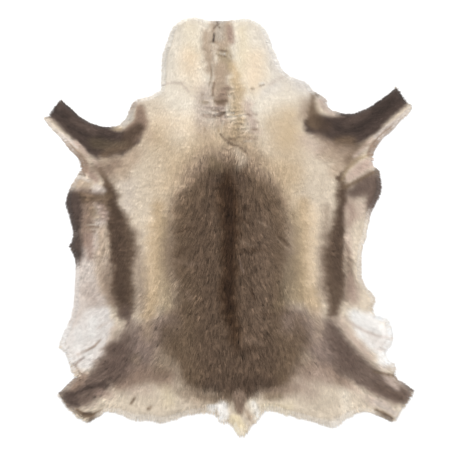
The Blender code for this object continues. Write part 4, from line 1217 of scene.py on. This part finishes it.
def skin_mesh():
    """The tanned skin, flat on the floor, with its flesh side down."""
    bm = bmesh.new()
    face = bm.faces.new([bm.verts.new((*place, 0.0)) for place in skin_edge() * MM])
    face.normal_update()
    if face.normal.z > 0:
        face.normal_flip()
    walls = bmesh.ops.extrude_face_region(bm, geom=[face], use_keep_orig=True)["geom"]
    raised = [item for item in walls if isinstance(item, bmesh.types.BMVert)]
    bmesh.ops.translate(bm, vec=(0, 0, SKIN_THICKNESS * MM), verts=raised)
    bmesh.ops.recalc_face_normals(bm, faces=bm.faces[:])
    bmesh.ops.triangulate(bm, faces=bm.faces[:])
    mesh = bpy.data.meshes.new("skin")
    bm.to_mesh(mesh)
    bm.free()
    return mesh


# ------------------------------------------------------------------------------------------- materials


def set_inputs(material, node, inputs):
    """Sets a node's inputs, each to a value or to what another node puts out."""
    for name, value in inputs.items():
        if isinstance(value, bpy.types.NodeSocket):
            material.node_tree.links.new(value, node.inputs[name])
        else:
            node.inputs[name].default_value = value


def add_node(material, kind, inputs):
    """Adds a node to a material."""
    node = material.node_tree.nodes.new("ShaderNode" + kind)
    set_inputs(material, node, inputs)
    return node


def finish(name):
    """A new material with nodes."""
    material = bpy.data.materials.new(name)
    material.use_nodes = True
    return material


def set_finish(material, inputs):
    """Sets the look of a material."""
    set_inputs(material, material.node_tree.nodes["Principled BSDF"], inputs)


def clouds(material, scale, detail):
    """Soft clouds on the piece's own places, so many to the metre."""
    places = add_node(material, "TexCoord", {}).outputs["Object"]
    return add_node(material, "TexNoise", {"Vector": places, "Scale": scale, "Detail": detail}).outputs["Fac"]


def between(material, share, low, high, **limits):
    """A value that goes from low to high as a share goes from 0 to 1, or between its limits."""
    inputs = {"Value": share, "To Min": low, "To Max": high}
    return add_node(material, "MapRange", inputs | limits).outputs["Result"]


def bumps(material, height, strength, distance):
    """The directions of a surface whose bumps follow a height."""
    inputs = {"Height": height, "Strength": strength, "Distance": distance}
    return add_node(material, "Bump", inputs).outputs["Normal"]


def coat_finish(name, roughness, grain):
    """The hair's finish: the colour painted on its points, with the painted light and shade of the pile in
    it, a little uneven along each lock, with a soft sheen.
    """
    material = finish(name)
    grains = clouds(material, grain, 3.0)
    colour = add_node(material, "Attribute", {})
    colour.attribute_name = "coat"
    tone = between(material, grains, 0.95, 1.05, **{"From Min": 0.3, "From Max": 0.7})
    shaded = add_node(material, "VectorMath", {})
    shaded.operation = "SCALE"
    set_inputs(material, shaded, {"Vector": colour.outputs["Color"], "Scale": tone})
    set_finish(material, {
        "Base Color": shaded.outputs["Vector"],
        "Roughness": between(material, grains, roughness - 0.08, roughness + 0.08),
        "Specular IOR Level": 0.08,
        "Sheen Weight": 0.02,
        "Sheen Roughness": 0.5,
    })
    return material


def wool_finish():
    """The underwool's finish: that of the hair, duller, with fine tangled wool."""
    material = coat_finish("underwool", 0.8, 300.0)
    set_finish(material, {"Normal": bumps(material, clouds(material, 420.0, 4.0), 0.25, 0.0015)})
    return material


def suede_finish():
    """The flesh side's finish: pale suede with a fine nap and faint veins."""
    material = finish("suede")
    tint = add_node(material, "ValToRGB", {"Fac": clouds(material, 9.0, 6.0)})
    stops = tint.color_ramp.elements
    for stop, position, colour in zip(stops, (0.3, 0.7), ((214, 196, 168), (236, 225, 206))):
        stop.position = position
        stop.color = (*linear(colour), 1)
    nap = clouds(material, 700.0, 5.0)
    set_finish(material, {
        "Base Color": tint.outputs["Color"],
        "Roughness": between(material, nap, 0.75, 0.95),
        "Specular IOR Level": 0.25,
        "Normal": bumps(material, nap, 0.4, 0.0006),
    })
    return material


# ------------------------------------------------------------------------------------------- the stage


def lay_floor(scene):
    """A pale floor just under the hide."""
    bm = bmesh.new()
    bmesh.ops.create_grid(bm, x_segments=1, y_segments=1, size=FLOOR_HALF)
    mesh = bpy.data.meshes.new("floor")
    bm.to_mesh(mesh)
    bm.free()
    floor = bpy.data.objects.new("floor", mesh)
    floor.location.z = FLOOR_HEIGHT
    scene.collection.objects.link(floor)
    pale = finish("floor")
    set_finish(pale, {"Base Color": (0.95, 0.95, 0.95, 1), "Roughness": 0.9, "Specular IOR Level": 0.1})
    mesh.materials.append(pale)


def hang(lamp, scene):
    """Hangs a lamp that shines on the middle of the hide."""
    source = bpy.data.lights.new(lamp.name, "AREA")
    source.size = lamp.size
    source.energy = lamp.power
    light = bpy.data.objects.new(lamp.name, source)
    light.location = lamp.place
    light.rotation_euler = (-Vector(lamp.place)).to_track_quat("-Z", "Y").to_euler()
    light.visible_camera = False
    scene.collection.objects.link(light)


# ------------------------------------------------------------------------------------------- settings


class HideSettings(bpy.types.PropertyGroup):
    """Sizes and finish of the hide's hair."""

    crowding: bpy.props.FloatProperty(
        name="Crowding", description="Share of the hairs that grow", default=1.0, min=0.05, max=1.0,
        subtype="FACTOR",
    )
    length: bpy.props.FloatProperty(
        name="Length", description="Times the length of the hairs", default=1.0
    )
    thickness: bpy.props.FloatProperty(
        name="Thickness", description="Times the width of the hairs", default=1.0
    )
    tufting: bpy.props.FloatProperty(
        name="Tufting", description="How far hairs draw together into tufts", default=0.5, min=0, max=1,
        subtype="FACTOR",
    )
    brightness: bpy.props.FloatProperty(
        name="Brightness", description="Times the coat's colour", default=0.93, min=0.1, max=2.0
    )


# ------------------------------------------------------------------------------------------- operators


class HIDE_OT_underwool(bpy.types.Operator):
    """Makes the dense wool under the guard hair"""

    bl_idname = "hide.underwool"
    bl_label = "Underwool"

    def execute(self, context):
        mesh = underwool_mesh(context.scene.hide_settings.brightness)
        piece = finished("underwool", mesh, wool_finish())
        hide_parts(SOLID)
        return {"FINISHED"}


class HIDE_OT_guard_hair(bpy.types.Operator):
    """Grows the guard hair, a piece for each part of the hide"""

    bl_idname = "hide.guard_hair"
    bl_label = "Guard Hair"

    def execute(self, context):
        hairs, names = grown_hairs(context.scene.hide_settings)
        material = coat_finish("guard_hair", 0.6, 260.0)
        for name in sorted(set(names)):
            hair_mesh(name, picked(hairs, names == name), material)
        return {"FINISHED"}


class HIDE_OT_fringe(bpy.types.Operator):
    """Grows the hair that hangs over the skin's edge"""

    bl_idname = "hide.fringe"
    bl_label = "Fringe"

    def execute(self, context):
        hairs = fringe_hairs(context.scene.hide_settings)
        hair_mesh("hair_fringe", hairs, coat_finish("fringe", 0.6, 260.0))
        return {"FINISHED"}


class HIDE_OT_skin(bpy.types.Operator):
    """Cuts the skin that the hair grows from"""

    bl_idname = "hide.skin"
    bl_label = "Skin"

    def execute(self, context):
        piece = finished("skin", skin_mesh(), suede_finish())
        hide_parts(SOLID)
        edge = skin_edge()
        return {"FINISHED"}


class HIDE_OT_stage(bpy.types.Operator):
    """Sets the floor, the lights and the camera"""

    bl_idname = "hide.stage"
    bl_label = "Stage"

    def execute(self, context):
        scene = context.scene
        lay_floor(scene)
        scene.world = bpy.data.worlds.new("studio")
        scene.world.use_nodes = True
        daylight = scene.world.node_tree.nodes["Background"].inputs
        daylight["Color"].default_value = (1, 1, 1, 1)
        daylight["Strength"].default_value = DAYLIGHT
        for lamp in LAMPS:
            hang(lamp, scene)
        lens = bpy.data.cameras.new("camera")
        lens.lens = CAMERA_LENS
        lens.sensor_width = 36.0
        lens.clip_end = 50.0
        camera = bpy.data.objects.new("camera", lens)
        camera.location = CAMERA_PLACE
        scene.collection.objects.link(camera)
        scene.camera = camera
        scene.view_settings.view_transform = "Standard"
        return {"FINISHED"}


class HIDE_PT_panel(bpy.types.Panel):
    """Lists the steps that dress the hide"""

    bl_idname = "HIDE_PT_panel"
    bl_label = "Reindeer Hide"
    bl_space_type = "VIEW_3D"
    bl_region_type = "UI"
    bl_category = "Hide"

    def draw(self, context):
        for name in HideSettings.__annotations__:
            self.layout.prop(context.scene.hide_settings, name)
        for step in STEPS:
            self.layout.operator(step.bl_idname)


STEPS = (HIDE_OT_underwool, HIDE_OT_guard_hair, HIDE_OT_fringe, HIDE_OT_skin, HIDE_OT_stage)
CLASSES = (HideSettings, *STEPS, HIDE_PT_panel)


def register():
    for item in CLASSES:
        bpy.utils.register_class(item)
    bpy.types.Scene.hide_settings = bpy.props.PointerProperty(type=HideSettings)


def unregister():
    del bpy.types.Scene.hide_settings
    for item in reversed(CLASSES):
        bpy.utils.unregister_class(item)


def main():
    register()
    bpy.ops.hide.underwool()
    bpy.ops.hide.guard_hair()
    bpy.ops.hide.fringe()
    bpy.ops.hide.skin()
    bpy.ops.hide.stage()


if __name__ == "__main__":
    main()
